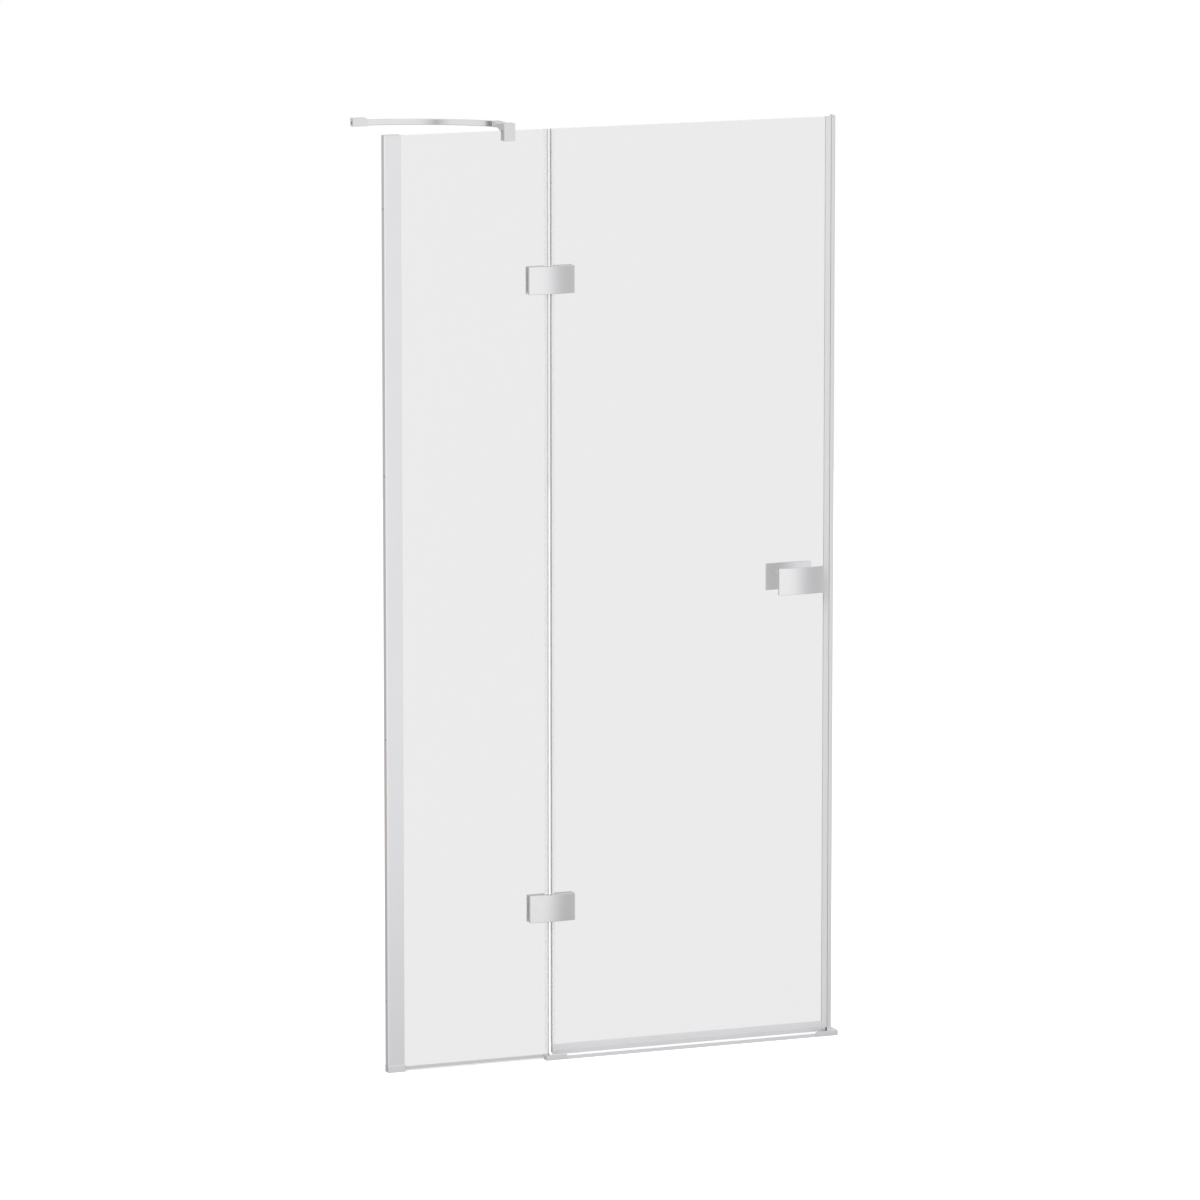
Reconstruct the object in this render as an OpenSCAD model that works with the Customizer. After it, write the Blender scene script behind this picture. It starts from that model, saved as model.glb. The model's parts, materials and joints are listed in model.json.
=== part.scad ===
// Hinged shower door with a narrow fixed side panel, closed.
// x runs along the panel from the left wall, y points into the shower,
// z points up from the tray. The glass lies on the plane y = 0.

/* [Opening] */
// distance between the two walls
wall_to_wall = 1005; // [960:1:1100]
// top of the glass above the tray
glass_top = 1950; // [1850:1:2100]
// thickness of both panes
glass_t = 8; // [7.6:0.1:8]
// middle of the gap between the two panes, from the left wall
gap_x = 362; // [350:1:420]
// open gap between the two panes
gap_w = 7; // [6:0.5:8]

/* [Left wall profile] */
// width of the profile seen from the front
profile_w = 36; // [34:0.5:44]
// depth of the profile, front to back
profile_d = 18; // [18:0.5:24]
// wall thickness of the profile
profile_wall = 2; // [1.5:0.1:2]
// height of the foot cap
foot_h = 15.5; // [14:0.5:25]
// how far the foot cap stands out beyond the profile
foot_lip = 0.6; // [0.3:0.1:1.5]
// radius of each wall screw hole
wall_hole_r = 2.75; // [2:0.25:3]

/* [Right strike profile] */
// width of the nose that meets the door
nose_w = 8.4; // [8:0.1:10]
// front of the nose, in front of the glass plane
nose_front = 7; // [6:0.5:9]
// space between the nose and the right wall
nose_gap = 8.5; // [6:0.5:12]
// depth of the flange that lies on the right wall
flange_d = 20; // [16:1:30]

/* [Threshold] */
// front edge of the threshold rail, in front of the glass plane
rail_front = 23.5; // [22:0.5:30]
// depth of the threshold rail
rail_d = 10; // [9:0.5:12]
// height of the threshold rail
rail_h = 5; // [4:0.5:8]
// height of both end caps
cap_h = 10.9; // [8:0.1:11]
// front wall thickness of both end caps
cap_wall = 2.3; // [1.5:0.1:3]
// length of the left end cap along the rail
cap_left_len = 46; // [30:1:70]
// length of the right end cap along the rail
cap_right_len = 50; // [40:1:70]

/* [Hinges] */
// middle of the lower hinge above the tray
hinge_low = 322; // [200:1:500]
// middle of the upper hinge below the top of the glass
hinge_high = 311; // [200:1:500]
// height of each hinge
hinge_h = 57; // [55:1:70]
// reach of the cover to the left of the gap
cover_left = 48.5; // [46:0.5:60]
// reach of the cover to the right of the gap
cover_right = 51.5; // [51:0.5:60]
// front of the cover at its two ends, in front of the glass plane
cover_end = 13; // [13:0.5:16]
// how far the arched front bulges beyond its ends
cover_bulge = 4; // [2:0.5:8]
// back of the hinge, behind the glass plane
hinge_back = 11; // [11:0.5:12]
// pin axis behind the glass plane
axis_y = 4.5; // [4:0.25:4.75]
// radius of the knuckles
knuckle_r = 6.5; // [6:0.25:6.5]
// radius of the hinge pin
pin_r = 3; // [2.5:0.1:3.2]
// running clearance of the pin in its bush
pin_play = 0.05; // [0.02:0.01:0.1]

/* [Handle] */
// middle of the handle from the closing edge of the door's glass
handle_x = 72; // [65:1:120]
// middle of the handle above the tray
handle_z = 983; // [900:1:1100]
// length of each plate
handle_len = 101; // [90:1:110]
// height of each plate
handle_h = 56; // [45:1:70]
// thickness of each plate
handle_t = 5; // [4:0.5:6]
// outer surface at the ends of each plate, from the glass plane
handle_reach = 38.5; // [34:0.5:45]
// how far the middle of a plate stands out beyond its ends
handle_bulge = 4; // [2:0.5:6]
// radius of the round post
post_r = 10; // [8.5:0.5:12]

/* [Stabiliser] */
// middle of the glass clamp from the left wall
clamp_x = 272; // [260:1:280]
// width of the glass clamp
clamp_w = 24; // [20:1:28]
// height of the glass clamp
clamp_h = 36; // [32:1:40]
// how far the clamp stands above the glass
clamp_over = 15; // [14:0.5:17]
// front of the clamp, in front of the glass plane
clamp_front = 12; // [11:0.5:14]
// back of the clamp jaw, behind the glass plane
clamp_back = 11; // [10:0.5:13]
// middle of the bar at the wall, behind the glass plane
bar_y = 187; // [180:1:200]
// radius of the curved bar in plan
bar_r = 360; // [350:1:380]
// thickness of the bar
bar_t = 6; // [5:0.5:7]
// height of the bar
bar_h = 12; // [11:0.5:12.5]

/* [Seals] */
// bottom of the door's drip seal above the tray
drip_low = 7.2; // [6:0.2:8]
// top of the door's drip seal above the tray
drip_top = 29.2; // [25:0.2:35]
// height of the fixed panel's bottom seal
sill_seal_h = 10; // [9:0.5:10.5]
// bottom of the magnetic seal above the tray
magnet_low = 15; // [13:0.5:18]
// free gap between the magnetic seal and the strike nose
strike_gap = 0.4; // [0.3:0.1:1]

/* [Hidden] */
$fn = 72;
eps = 0.01;
half_t = glass_t/2;
half_d = profile_d/2;
snug = 0.03;
liner = 1;
liner_y = half_t + liner;
gap_l = gap_x - gap_w/2 + 0.5;
gap_r = gap_x + gap_w/2 - 0.5;
nose_r = wall_to_wall - nose_gap;
nose_l = nose_r - nose_w;
strike_back = 17;
seal_r = nose_l - strike_gap;
seal_w = 12;
seal_l = seal_r - seal_w;
door_r = seal_r - 4.6;
handle_cx = door_r - handle_x;
low_z = hinge_low;
high_z = glass_top - hinge_high;
cover_rear = half_t + 0.4;
leaf_front = cover_end - 1;
leaf_h = hinge_h - 7;
notch_x = 24;
notch_h = leaf_h + 1;
notch_r = 6;
block_h = notch_h - 2*notch_r;
knuckle_h = leaf_h - 1;
middle_h = 24;
knuckle_gap = 0.3;
bush_t = 1.5;
hinge_screw_x = 17;
hinge_screw_z = 16;
hinge_screw_r = 2.5;
clamp_top = glass_top + clamp_over;
bar_z = glass_top + 7;
bar_cy = bar_y - bar_r;
bar_turn = asin(clamp_x/bar_r);
pivot_y = bar_cy + bar_r*cos(bar_turn);
wall_hole_end = 150;
wall_hole_step = (glass_top - 2*wall_hole_end)/3;
wall_holes = [for (k = [0:3]) wall_hole_end + k*wall_hole_step];

// a block between two corners
module span(a, b) {
    translate(a) cube(b - a);
}

// a round bar along y from y1 to y2
module rod_y(x, z, r, y1, y2) {
    translate([x, y2, z]) rotate([90, 0, 0]) cylinder(r=r, h=y2 - y1);
}

// a round bar along x from x1 to x2
module rod_x(y, z, r, x1, x2) {
    translate([x1, y, z]) rotate([0, 90, 0]) cylinder(r=r, h=x2 - x1);
}

// a countersunk screw along y, head at y_head, pointing to y_tip
module csk_screw(x, z, r, y_head, y_tip) {
    head = 1.9*r;
    depth = head - r;
    s = sign(y_tip - y_head);
    translate([x, y_head, z]) rotate([s > 0 ? -90 : 90, 0, 0])
        difference() {
            union() {
                cylinder(r1=head, r2=r, h=depth);
                cylinder(r=r, h=abs(y_tip - y_head));
            }
            translate([0, 0, -eps]) cylinder(r=0.65*r, h=1.4, $fn=6);
        }
}

// the hole such a screw leaves
module csk_hole(x, z, r, y_head, y_tip) {
    play = 0.1;
    head = 1.9*r + 2*play;
    depth = head - r - play;
    s = sign(y_tip - y_head);
    translate([x, y_head, z]) rotate([s > 0 ? -90 : 90, 0, 0]) {
        translate([0, 0, -1]) cylinder(r=head, h=1 + eps);
        cylinder(r1=head, r2=r + play, h=depth);
        cylinder(r=r + play, h=abs(y_tip - y_head));
    }
}

// left wall profile

profile_l = 0.4;
web_x = profile_w - 13.5;
pocket_x = web_x + profile_wall;
channel_half = half_d - profile_wall - 0.3;
channel_wall = 1.5;
channel_end = web_x - 1.5;
lip_w = 1.5;
bevel = 1;

module profile_outline() {
    polygon([
        [profile_l, half_d], [profile_w - bevel, half_d],
        [profile_w, half_d - bevel], [profile_w, bevel - half_d],
        [profile_w - bevel, -half_d], [bevel + profile_l, -half_d],
        [profile_l, bevel - half_d]
    ]);
}

module wall_profile() {
    inner = half_d - profile_wall;
    color([0.82, 0.83, 0.85]) difference() {
        translate([0, 0, foot_h])
            linear_extrude(glass_top - foot_h) profile_outline();
        span([-1, -inner, 0], [web_x, inner, glass_top + 1]);
        span([pocket_x, -inner, 0],
             [profile_w - lip_w, inner, glass_top + 1]);
        span([pocket_x, 1.2 - inner, 0],
             [profile_w + 1, inner - 1.2, glass_top + 1]);
        for (z = profile_screw_z)
            rod_y(profile_screw_x, z, 1.9, half_d - profile_wall - 1,
                  half_d + 1);
    }
}

profile_screw_x = 12;
profile_screw_end = 220;
profile_screw_z = [profile_screw_end, glass_top/2,
                   glass_top - profile_screw_end];

module wall_channel() {
    color([0.72, 0.73, 0.75]) difference() {
        span([0, -channel_half, foot_h + 0.5],
             [channel_end, channel_half, glass_top - 0.5]);
        span([2, channel_wall - channel_half, 0],
             [channel_end + 1, channel_half - channel_wall, glass_top]);
        for (z = wall_holes)
            rod_x(0, z, wall_hole_r, -1, 3);
        for (z = profile_screw_z)
            rod_y(profile_screw_x, z, 1.8,
                  channel_half - channel_wall - 1, channel_half + 1);
    }
}

module profile_screws() {
    color([0.75, 0.75, 0.77]) for (z = profile_screw_z)
        difference() {
            union() {
                rod_y(profile_screw_x, z, 1.75, channel_half - 4, half_d + 1);
                rod_y(profile_screw_x, z, 3.6, half_d, half_d + 1.6);
            }
            rod_y(profile_screw_x, z, 1.1, half_d + 0.6, half_d + 2);
        }
}

module gasket(side) {
    inner = half_d - profile_wall - 0.1;
    color([0.35, 0.36, 0.38]) scale([1, side, 1])
        translate([0, 0, foot_h + 0.3])
        linear_extrude(glass_top - foot_h - 0.6)
        polygon([
            [pocket_x + 0.3, half_t + snug],
            [profile_w + 0.8, half_t + snug],
            [profile_w + 0.3, half_d - profile_wall - 1.4],
            [profile_w - lip_w - 0.1, half_d - profile_wall - 1.4],
            [profile_w - lip_w - 0.1, inner], [pocket_x + 0.3, inner]
        ]);
}
module gasket_front() { gasket(-1); }
module gasket_back() { gasket(1); }

plug_half = channel_half - channel_wall - 0.3;

module foot_cap() {
    d = half_d + foot_lip;
    color([0.78, 0.79, 0.81]) difference() {
        union() {
            rotate([90, 0, 90]) linear_extrude(profile_w + 2)
                polygon([
                    [-d, 0], [d, 0], [d, foot_h - 0.9],
                    [d - 0.9, foot_h], [0.9 - d, foot_h],
                    [-d, foot_h - 0.9]
                ]);
            span([3, -plug_half, foot_h - 1],
                 [channel_end - 0.5, plug_half, foot_h + 12]);
        }
        span([pocket_x, -half_t - 1.2, -1],
             [profile_w + 3, half_t + 1.2, foot_h + 1]);
    }
}

module top_cap() {
    color([0.80, 0.81, 0.83]) {
        span([0, -half_d, glass_top], [profile_w, half_d, glass_top + 1.6]);
        span([3, -plug_half, glass_top - 12],
             [channel_end - 0.5, plug_half, glass_top + eps]);
    }
}

// fixed pane

// the notch that both panes have at a hinge
module hinge_notch(side, z) {
    r = notch_r;
    x = gap_x + side*notch_x;
    translate([x, 0, z]) rotate([90, 0, 0])
        linear_extrude(glass_t + 2, center=true) {
            translate([side > 0 ? -notch_x - 1 : r, -notch_h/2])
                square([notch_x - r + 1, notch_h]);
            translate([side > 0 ? -r : 0, r - notch_h/2])
                square([r + eps, notch_h - 2*r]);
            for (k = [-1, 1])
                translate([-side*r, k*(notch_h/2 - r)]) circle(r);
        }
}

module fixed_glass() {
    color([0.80, 0.86, 0.86, 0.35]) difference() {
        span([pocket_x + 1, -half_t, 6], [gap_l - 1, half_t, glass_top]);
        for (z = [low_z, high_z]) hinge_notch(-1, z);
    }
}

module sill_seal() {
    color([0.72, 0.73, 0.74]) difference() {
        union() {
            span([pocket_x + 0.5, -half_t - 1, 3.2],
                 [gap_l - 1, half_t + 1, sill_seal_h]);
            span([pocket_x + 0.5, 0.6 - half_t, 0],
                 [gap_l - 1, half_t - 0.6, 3.3]);
        }
        span([pocket_x, -half_t - snug, 6],
             [gap_l, half_t + snug, sill_seal_h + 1]);
    }
}

// the clear edge strip, cut at the hinges
edge_cuts = [
    [low_z + hinge_h/2 + 0.3, high_z - hinge_h/2 - 0.3],
    [high_z + hinge_h/2 + 0.3, glass_top - 0.2]
];

module edge_strip(x1, x2, slot1, slot2, z_low) {
    cuts = concat([[z_low, low_z - hinge_h/2 - 0.3]], edge_cuts);
    for (c = cuts) difference() {
        span([x1, -half_t - 1, c[0]], [x2, half_t + 1, c[1]]);
        span([slot1, -half_t - snug, c[0] - 1],
             [slot2, half_t + snug, c[1] + 1]);
    }
}

module fixed_edge_seal() {
    color([0.80, 0.82, 0.83, 0.6])
        edge_strip(gap_l - 8.5, gap_l, gap_l - 10, gap_l - 1 + snug,
                   sill_seal_h + 0.3);
}

// right wall

flange_t = 2.5;
flange_y = strike_back + flange_d/2;

module strike_outline() {
    magnet_half = 4;
    difference() {
        union() {
            polygon([
                [nose_l, 0.8 - nose_front], [nose_l + 0.8, -nose_front],
                [nose_r, -nose_front], [nose_r, nose_front],
                [nose_l, nose_front]
            ]);
            translate([nose_r - flange_t, nose_front - 1])
                square([flange_t, strike_back - nose_front + 1]);
            translate([nose_r - flange_t, strike_back - flange_t])
                square([nose_gap + flange_t, flange_t]);
            translate([wall_to_wall - flange_t, strike_back - 1])
                square([flange_t, flange_d + 1]);
        }
        translate([nose_l - 1, -magnet_half])
            square([nose_w - 1, 2*magnet_half]);
        translate([nose_l + 2, -magnet_half - 1])
            square([2, 2*magnet_half + 2]);
    }
}

module strike_profile() {
    color([0.83, 0.84, 0.85]) difference() {
        translate([0, 0, cap_h])
            linear_extrude(glass_top - cap_h) strike_outline();
        for (z = wall_holes)
            rod_x(flange_y, z, wall_hole_r,
                  wall_to_wall - flange_t - 1, wall_to_wall + 1);
    }
}

module strike_magnet() {
    color([0.30, 0.31, 0.33]) translate([0, 0, cap_h + 1])
        linear_extrude(glass_top - cap_h - 1.5) {
            translate([nose_l + 0.3, -3.9]) square([nose_w - 2.6, 7.8]);
            translate([nose_l + 2.15, -4.9]) square([1.7, 9.8]);
        }
}

// threshold

leg_w = 12;
leg_back = half_t + 1.3;
cap_left_x = gap_l - 1 - leg_w;
cap_play = 0.2;
cap_leg_x = seal_l + 1.3;

// the rail, with a tongue behind each cap's front wall
module threshold_rail() {
    f = -rail_front;
    b = rail_d - rail_front;
    x1 = cap_left_x + leg_w + cap_play;
    x2 = cap_leg_x - cap_play;
    x3 = cap_left_x + cap_left_len + cap_play;
    x4 = wall_to_wall - cap_right_len - cap_play;
    color([0.80, 0.80, 0.82]) difference() {
        translate([x1, 0, 0]) rotate([90, 0, 90]) linear_extrude(x2 - x1)
            polygon([
                [f, 0], [b, 0], [b, rail_h - 0.6], [b - 0.6, rail_h],
                [f + 4.5, rail_h], [f + 1.6, rail_h - 1.2],
                [f, rail_h - 3.6]
            ]);
        for (x = [[x1 - 1, x3], [x4, x2 + 1]])
            span([x[0], f - 1, -1],
                 [x[1], f + cap_wall + cap_play, rail_h + 1]);
    }
}

module threshold_cap_left() {
    f = -rail_front;
    color([0.79, 0.79, 0.81]) {
        span([cap_left_x, f, 0], [cap_left_x + leg_w, -leg_back, cap_h]);
        span([cap_left_x, f, 0],
             [cap_left_x + cap_left_len, f + cap_wall, cap_h]);
    }
}

module threshold_cap_right() {
    f = -rail_front;
    x = wall_to_wall;
    color([0.79, 0.79, 0.81]) {
        span([cap_leg_x, f, 0], [x, strike_back, cap_h]);
        span([x - cap_right_len, f, 0], [x, f + cap_wall, cap_h]);
    }
}

// stabiliser

arm_low = glass_top + 3;
arm_high = glass_top + 12.5;
arm_mid = (arm_low + arm_high)/2;
arm_inset = 2;
arm_fillet = 61.4;
arm_tip = 43;
eye_r = clamp_w/2 - arm_inset;
pivot_r = 2.5;
clamp_low = clamp_top - clamp_h;
clamp_l = clamp_x - clamp_w/2;
clamp_r = clamp_x + clamp_w/2;
clamp_screw_z = clamp_low + 9;
clamp_screw_r = 3;

module stabiliser_clamp() {
    color([0.82, 0.83, 0.85]) difference() {
        union() {
            span([clamp_l, -clamp_front, clamp_low],
                 [clamp_r, clamp_back, clamp_top]);
            difference() {
                span([clamp_l + arm_inset, clamp_back - 1, arm_low - 9],
                     [clamp_r - arm_inset, pivot_y, arm_high]);
                rod_x(arm_tip, arm_low - arm_fillet, arm_fillet,
                      clamp_l, clamp_r);
                span([clamp_l, arm_tip, clamp_low],
                     [clamp_r, pivot_y + 1, arm_low]);
            }
            translate([clamp_x, pivot_y, arm_low])
                cylinder(r=eye_r, h=arm_high - arm_low);
        }
        span([clamp_l - 1, -liner_y, clamp_low - 1],
             [clamp_r + 1, liner_y, glass_top + 1]);
        translate([clamp_x, pivot_y, arm_mid])
            cylinder(r=eye_r + 0.4, h=20);
        translate([clamp_x, pivot_y, arm_low - 1])
            cylinder(r=pivot_r, h=12);
        rod_y(clamp_x, clamp_screw_z, clamp_screw_r, 0, clamp_back + 1);
    }
}

module clamp_liners() {
    inset = 0.6;
    color([0.75, 0.77, 0.78]) for (k = [-1, 1]) scale([1, k, 1])
        span([clamp_l + inset, half_t, clamp_low + inset],
             [clamp_r - inset, liner_y, glass_top]);
}

module clamp_screw() {
    color([0.6, 0.6, 0.62]) difference() {
        rod_y(clamp_x, clamp_screw_z, clamp_screw_r - 0.05, liner_y,
              clamp_back - 0.4);
        translate([clamp_x, clamp_back, clamp_screw_z])
            rotate([90, 0, 0]) cylinder(r=1.7, h=3, $fn=6);
    }
}

bar_top = bar_z + bar_h/2;
bar_start = 6;
eye_low = arm_mid + 0.15;
seat_depth = 2.5;

// the strip ends inside the eye, clear of the screw's seat
module stabiliser_bar() {
    a0 = asin(bar_start/bar_r);
    a1 = asin((eye_r - 3.5)/bar_r);
    color([0.85, 0.86, 0.87]) difference() {
        union() {
            translate([0, bar_cy, bar_z - bar_h/2])
                rotate([0, 0, 90 - bar_turn + a1])
                rotate_extrude(angle=bar_turn - a0 - a1, $fn=144)
                translate([bar_r - bar_t/2, 0]) square([bar_t, bar_h]);
            translate([clamp_x, pivot_y, eye_low])
                cylinder(r=eye_r - 0.5, h=bar_top - eye_low);
        }
        translate([clamp_x, pivot_y, arm_low - 5])
            cylinder(r=eye_r + 0.3, h=eye_low - arm_low + 5);
        translate([clamp_x, pivot_y, arm_low])
            cylinder(r=pivot_r + 0.1, h=20);
        translate([clamp_x, pivot_y, bar_top - seat_depth])
            cylinder(r=4.8, h=10);
    }
}

module pivot_screw() {
    color([0.6, 0.6, 0.62]) translate([clamp_x, pivot_y, 0]) difference() {
        union() {
            translate([0, 0, arm_low + 0.6])
                cylinder(r=pivot_r - 0.05,
                         h=bar_top - arm_low - seat_depth - 0.6 + eps);
            translate([0, 0, bar_top - seat_depth])
                cylinder(r=4.6, h=seat_depth - 0.2);
        }
        translate([0, 0, bar_top - 1.6]) cylinder(r=1.7, h=3, $fn=6);
    }
}

socket_len = 32;
socket_front = bar_y - 8.8;
socket_back = bar_y + 8.2;
socket_low = bar_z - 7.2;
socket_high = bar_z + 9.8;
socket_wall = 5.5;
socket_screw_x = 20;
socket_screw_r = 2;
bar_play = 0.2;
bar_sag = bar_r - sqrt(bar_r*bar_r - socket_len*socket_len);

module bar_socket() {
    color([0.80, 0.81, 0.83]) difference() {
        span([0, socket_front, socket_low],
             [socket_len, socket_back, socket_high]);
        span([socket_wall, bar_y - bar_t/2 - bar_sag - bar_play,
              bar_z - bar_h/2 - bar_play],
             [socket_len + 1, bar_y + bar_t/2 + bar_play,
              bar_top + bar_play]);
        rod_x(bar_y, bar_z, 2.5, -1, socket_wall + 1);
        rod_y(socket_screw_x, bar_z, socket_screw_r, bar_y, bar_y + 20);
    }
}

module socket_screw() {
    y = bar_cy + sqrt(pow(bar_r + bar_t/2, 2)
                      - pow(socket_screw_x - socket_screw_r, 2));
    color([0.6, 0.6, 0.62]) difference() {
        rod_y(socket_screw_x, bar_z, socket_screw_r - 0.05, y,
              socket_back - 0.3);
        translate([socket_screw_x, socket_back, bar_z])
            rotate([90, 0, 0]) cylinder(r=1.1, h=2, $fn=6);
    }
}

// hinges, drawn at height zero with the gap's middle at x = 0

plate_gap_l = 10;
plate_gap_r = 12;
block_in = 8;
block_out = notch_x - 0.8;
leaf_end_l = cover_left - 2;
leaf_end_r = cover_right - 4.5;
front_web = liner_y + 1;
cover_screw_x = -30;

module place(z) {
    translate([gap_x, 0, z]) children();
}

module knuckle(z1, z2) {
    translate([0, axis_y, z1]) cylinder(r=knuckle_r, h=z2 - z1);
}

// side is -1 for the fixed leaf and 1 for the door leaf
module leaf_body(side, reach, front) {
    scale([side, 1, 1]) {
        span([3, -front, -leaf_h/2], [reach, -liner_y, leaf_h/2]);
        span([block_in, -front, -block_h/2],
             [block_out, liner_y, block_h/2]);
    }
}

module leaf_screw_holes(side) {
    for (k = [-1, 1])
        csk_hole(side*hinge_screw_x, k*hinge_screw_z, hinge_screw_r,
                 hinge_back, 3 - cover_end);
}

module fixed_leaf() {
    color([0.70, 0.71, 0.73]) difference() {
        union() {
            leaf_body(-1, leaf_end_l, leaf_front);
            for (k = [-1, 1]) {
                z1 = middle_h/2 + knuckle_gap;
                z2 = knuckle_h/2;
                a = k > 0 ? z1 : -z2;
                b = k > 0 ? z2 : -z1;
                knuckle(a, b);
                span([-block_in - 1, -front_web, a], [0, axis_y, b]);
            }
        }
        translate([0, axis_y, -knuckle_h])
            cylinder(r=pin_r + 0.01, h=2*knuckle_h);
        leaf_screw_holes(-1);
        translate([cover_screw_x, 5 - cover_end, -leaf_h/2 - 1])
            cylinder(r=1.55, h=6);
    }
}

module door_leaf() {
    color([0.70, 0.71, 0.73]) difference() {
        union() {
            leaf_body(1, leaf_end_r, leaf_front - 0.5);
            knuckle(-middle_h/2, middle_h/2);
            span([0, -front_web, -middle_h/2],
                 [block_in + 1, axis_y, middle_h/2]);
        }
        translate([0, axis_y, -knuckle_h])
            cylinder(r=pin_r + bush_t, h=2*knuckle_h);
        leaf_screw_holes(1);
    }
}

module bush() {
    color([0.9, 0.9, 0.88]) translate([0, axis_y, -middle_h/2])
        difference() {
            cylinder(r=pin_r + bush_t, h=middle_h);
            translate([0, 0, -1])
                cylinder(r=pin_r + pin_play, h=middle_h + 2);
        }
}

module pin() {
    color([0.62, 0.62, 0.64]) translate([0, axis_y, -knuckle_h/2])
        cylinder(r=pin_r, h=knuckle_h);
}

module back_plate(x1, x2, side) {
    color([0.80, 0.81, 0.83]) difference() {
        span([x1, liner_y, -hinge_h/2], [x2, hinge_back, hinge_h/2]);
        leaf_screw_holes(side);
    }
}

module hinge_liners(x1, x2) {
    h = leaf_h/2 - 0.5;
    color([0.75, 0.77, 0.78]) {
        span([x1, half_t, -h - 2.5], [x2, liner_y, h + 2.5]);
        span([x1, -liner_y, -h], [x2, -half_t, h]);
    }
}

module cover() {
    c = (cover_right - cover_left)/2;
    half_w = (cover_right + cover_left)/2;
    r = (half_w*half_w + cover_bulge*cover_bulge)/(2*cover_bulge);
    wall = 1.8;
    color([0.84, 0.85, 0.87]) difference() {
        intersection() {
            span([-cover_left, -cover_end - cover_bulge, -hinge_h/2],
                 [cover_right, -cover_rear, hinge_h/2]);
            translate([c, r - cover_end - cover_bulge, -hinge_h])
                cylinder(r=r, h=2*hinge_h, $fn=180);
        }
        span([wall - cover_left, -leaf_front, -leaf_h/2 - 0.5],
             [cover_right - wall, 0, leaf_h/2 + 0.5]);
        translate([cover_screw_x, 5 - cover_end, -hinge_h])
            cylinder(r=1.6, h=hinge_h);
    }
}

module low_fixed_leaf() { place(low_z) fixed_leaf(); }
module high_fixed_leaf() { place(high_z) fixed_leaf(); }
module low_fixed_back() {
    place(low_z) back_plate(-cover_left, -plate_gap_l, -1);
}
module high_fixed_back() {
    place(high_z) back_plate(-cover_left, -plate_gap_l, -1);
}
module low_fixed_liners() {
    place(low_z) hinge_liners(-leaf_end_l, -notch_x);
}
module high_fixed_liners() {
    place(high_z) hinge_liners(-leaf_end_l, -notch_x);
}
module low_cover() { place(low_z) cover(); }
module high_cover() { place(high_z) cover(); }
module low_pin() { place(low_z) pin(); }
module high_pin() { place(high_z) pin(); }
module low_door_leaf() { place(low_z) door_leaf(); }
module high_door_leaf() { place(high_z) door_leaf(); }
module low_door_back() {
    place(low_z) back_plate(plate_gap_r, cover_right, 1);
}
module high_door_back() {
    place(high_z) back_plate(plate_gap_r, cover_right, 1);
}
module low_door_liners() {
    place(low_z) hinge_liners(notch_x, leaf_end_r);
}
module high_door_liners() {
    place(high_z) hinge_liners(notch_x, leaf_end_r);
}
module low_bush() { place(low_z) bush(); }
module high_bush() { place(high_z) bush(); }

module leaf_screws(side) {
    color([0.6, 0.6, 0.62]) for (z = [low_z, high_z])
        place(z) for (k = [-1, 1])
            csk_screw(side*hinge_screw_x, k*hinge_screw_z, hinge_screw_r,
                      hinge_back - 0.1, 4 - cover_end);
}
module fixed_leaf_screws() { leaf_screws(-1); }
module door_leaf_screws() { leaf_screws(1); }

module cover_screws() {
    color([0.6, 0.6, 0.62]) for (z = [low_z, high_z])
        place(z) translate([cover_screw_x, 5 - cover_end, 0.2 - hinge_h/2])
        difference() {
            cylinder(r=1.5, h=7.5);
            translate([0, 0, -1]) cylinder(r=0.8, h=2.2, $fn=6);
        }
}

// door

module door_glass() {
    color([0.80, 0.86, 0.86, 0.35]) difference() {
        span([gap_r + 1, -half_t, 12], [door_r, half_t, glass_top]);
        for (z = [low_z, high_z]) hinge_notch(1, z);
        rod_y(handle_cx, handle_z, sleeve_r + 0.1, -10, 10);
    }
}

module drip_seal() {
    out = half_t + 1.5;
    lip = half_t + 1.1;
    step = drip_low + 7.3;
    color([0.78, 0.79, 0.80]) translate([gap_r + 1, 0, 0])
        rotate([90, 0, 90]) linear_extrude(seal_l - 0.2 - gap_r - 1)
        polygon([
            [-out, drip_top], [-out, step], [-lip, step - 0.3],
            [-lip, drip_low + 0.6], [0.8 - lip, drip_low],
            [1.6 - lip, drip_low + 1], [2.4 - lip, 10.6],
            [out - 1, 10.6], [out, 11.6], [out, drip_top],
            [half_t + snug, drip_top], [half_t + snug, 12],
            [-half_t - snug, 12], [-half_t - snug, drip_top]
        ]);
}

module magnetic_seal() {
    half = half_t + 1.2;
    color([0.84, 0.84, 0.84]) translate([0, 0, magnet_low])
        linear_extrude(glass_top - 0.2 - magnet_low) difference() {
            polygon([
                [seal_l, -half], [seal_r, -half], [seal_r, half],
                [seal_l, half]
            ]);
            translate([seal_l - 1, -half_t - snug])
                square([door_r - seal_l + 1 + snug, 2*half_t + 2*snug]);
            translate([door_r + 1.1, -3]) square([2.5, 6]);
        }
}

module door_magnet() {
    color([0.30, 0.31, 0.33])
        span([door_r + 1.15, -2.9, magnet_low + 1],
             [door_r + 3.5, 2.9, glass_top - 1.5]);
}

module door_edge_seal() {
    color([0.80, 0.82, 0.83, 0.6])
        edge_strip(gap_r, gap_r + 8.5, gap_r + 1 - snug, gap_r + 10,
                   drip_top + 0.3);
}

// handle

sleeve_r = 6.9;
stud_r = 4;
plate_half = handle_len/2;
arch_r = (plate_half*plate_half + handle_bulge*handle_bulge)
    /(2*handle_bulge);
arch_top = handle_reach + handle_bulge;
arch_c = arch_top - arch_r;
post_end = arch_top - handle_t - 0.3;
stud_end = arch_top - 2;

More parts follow.
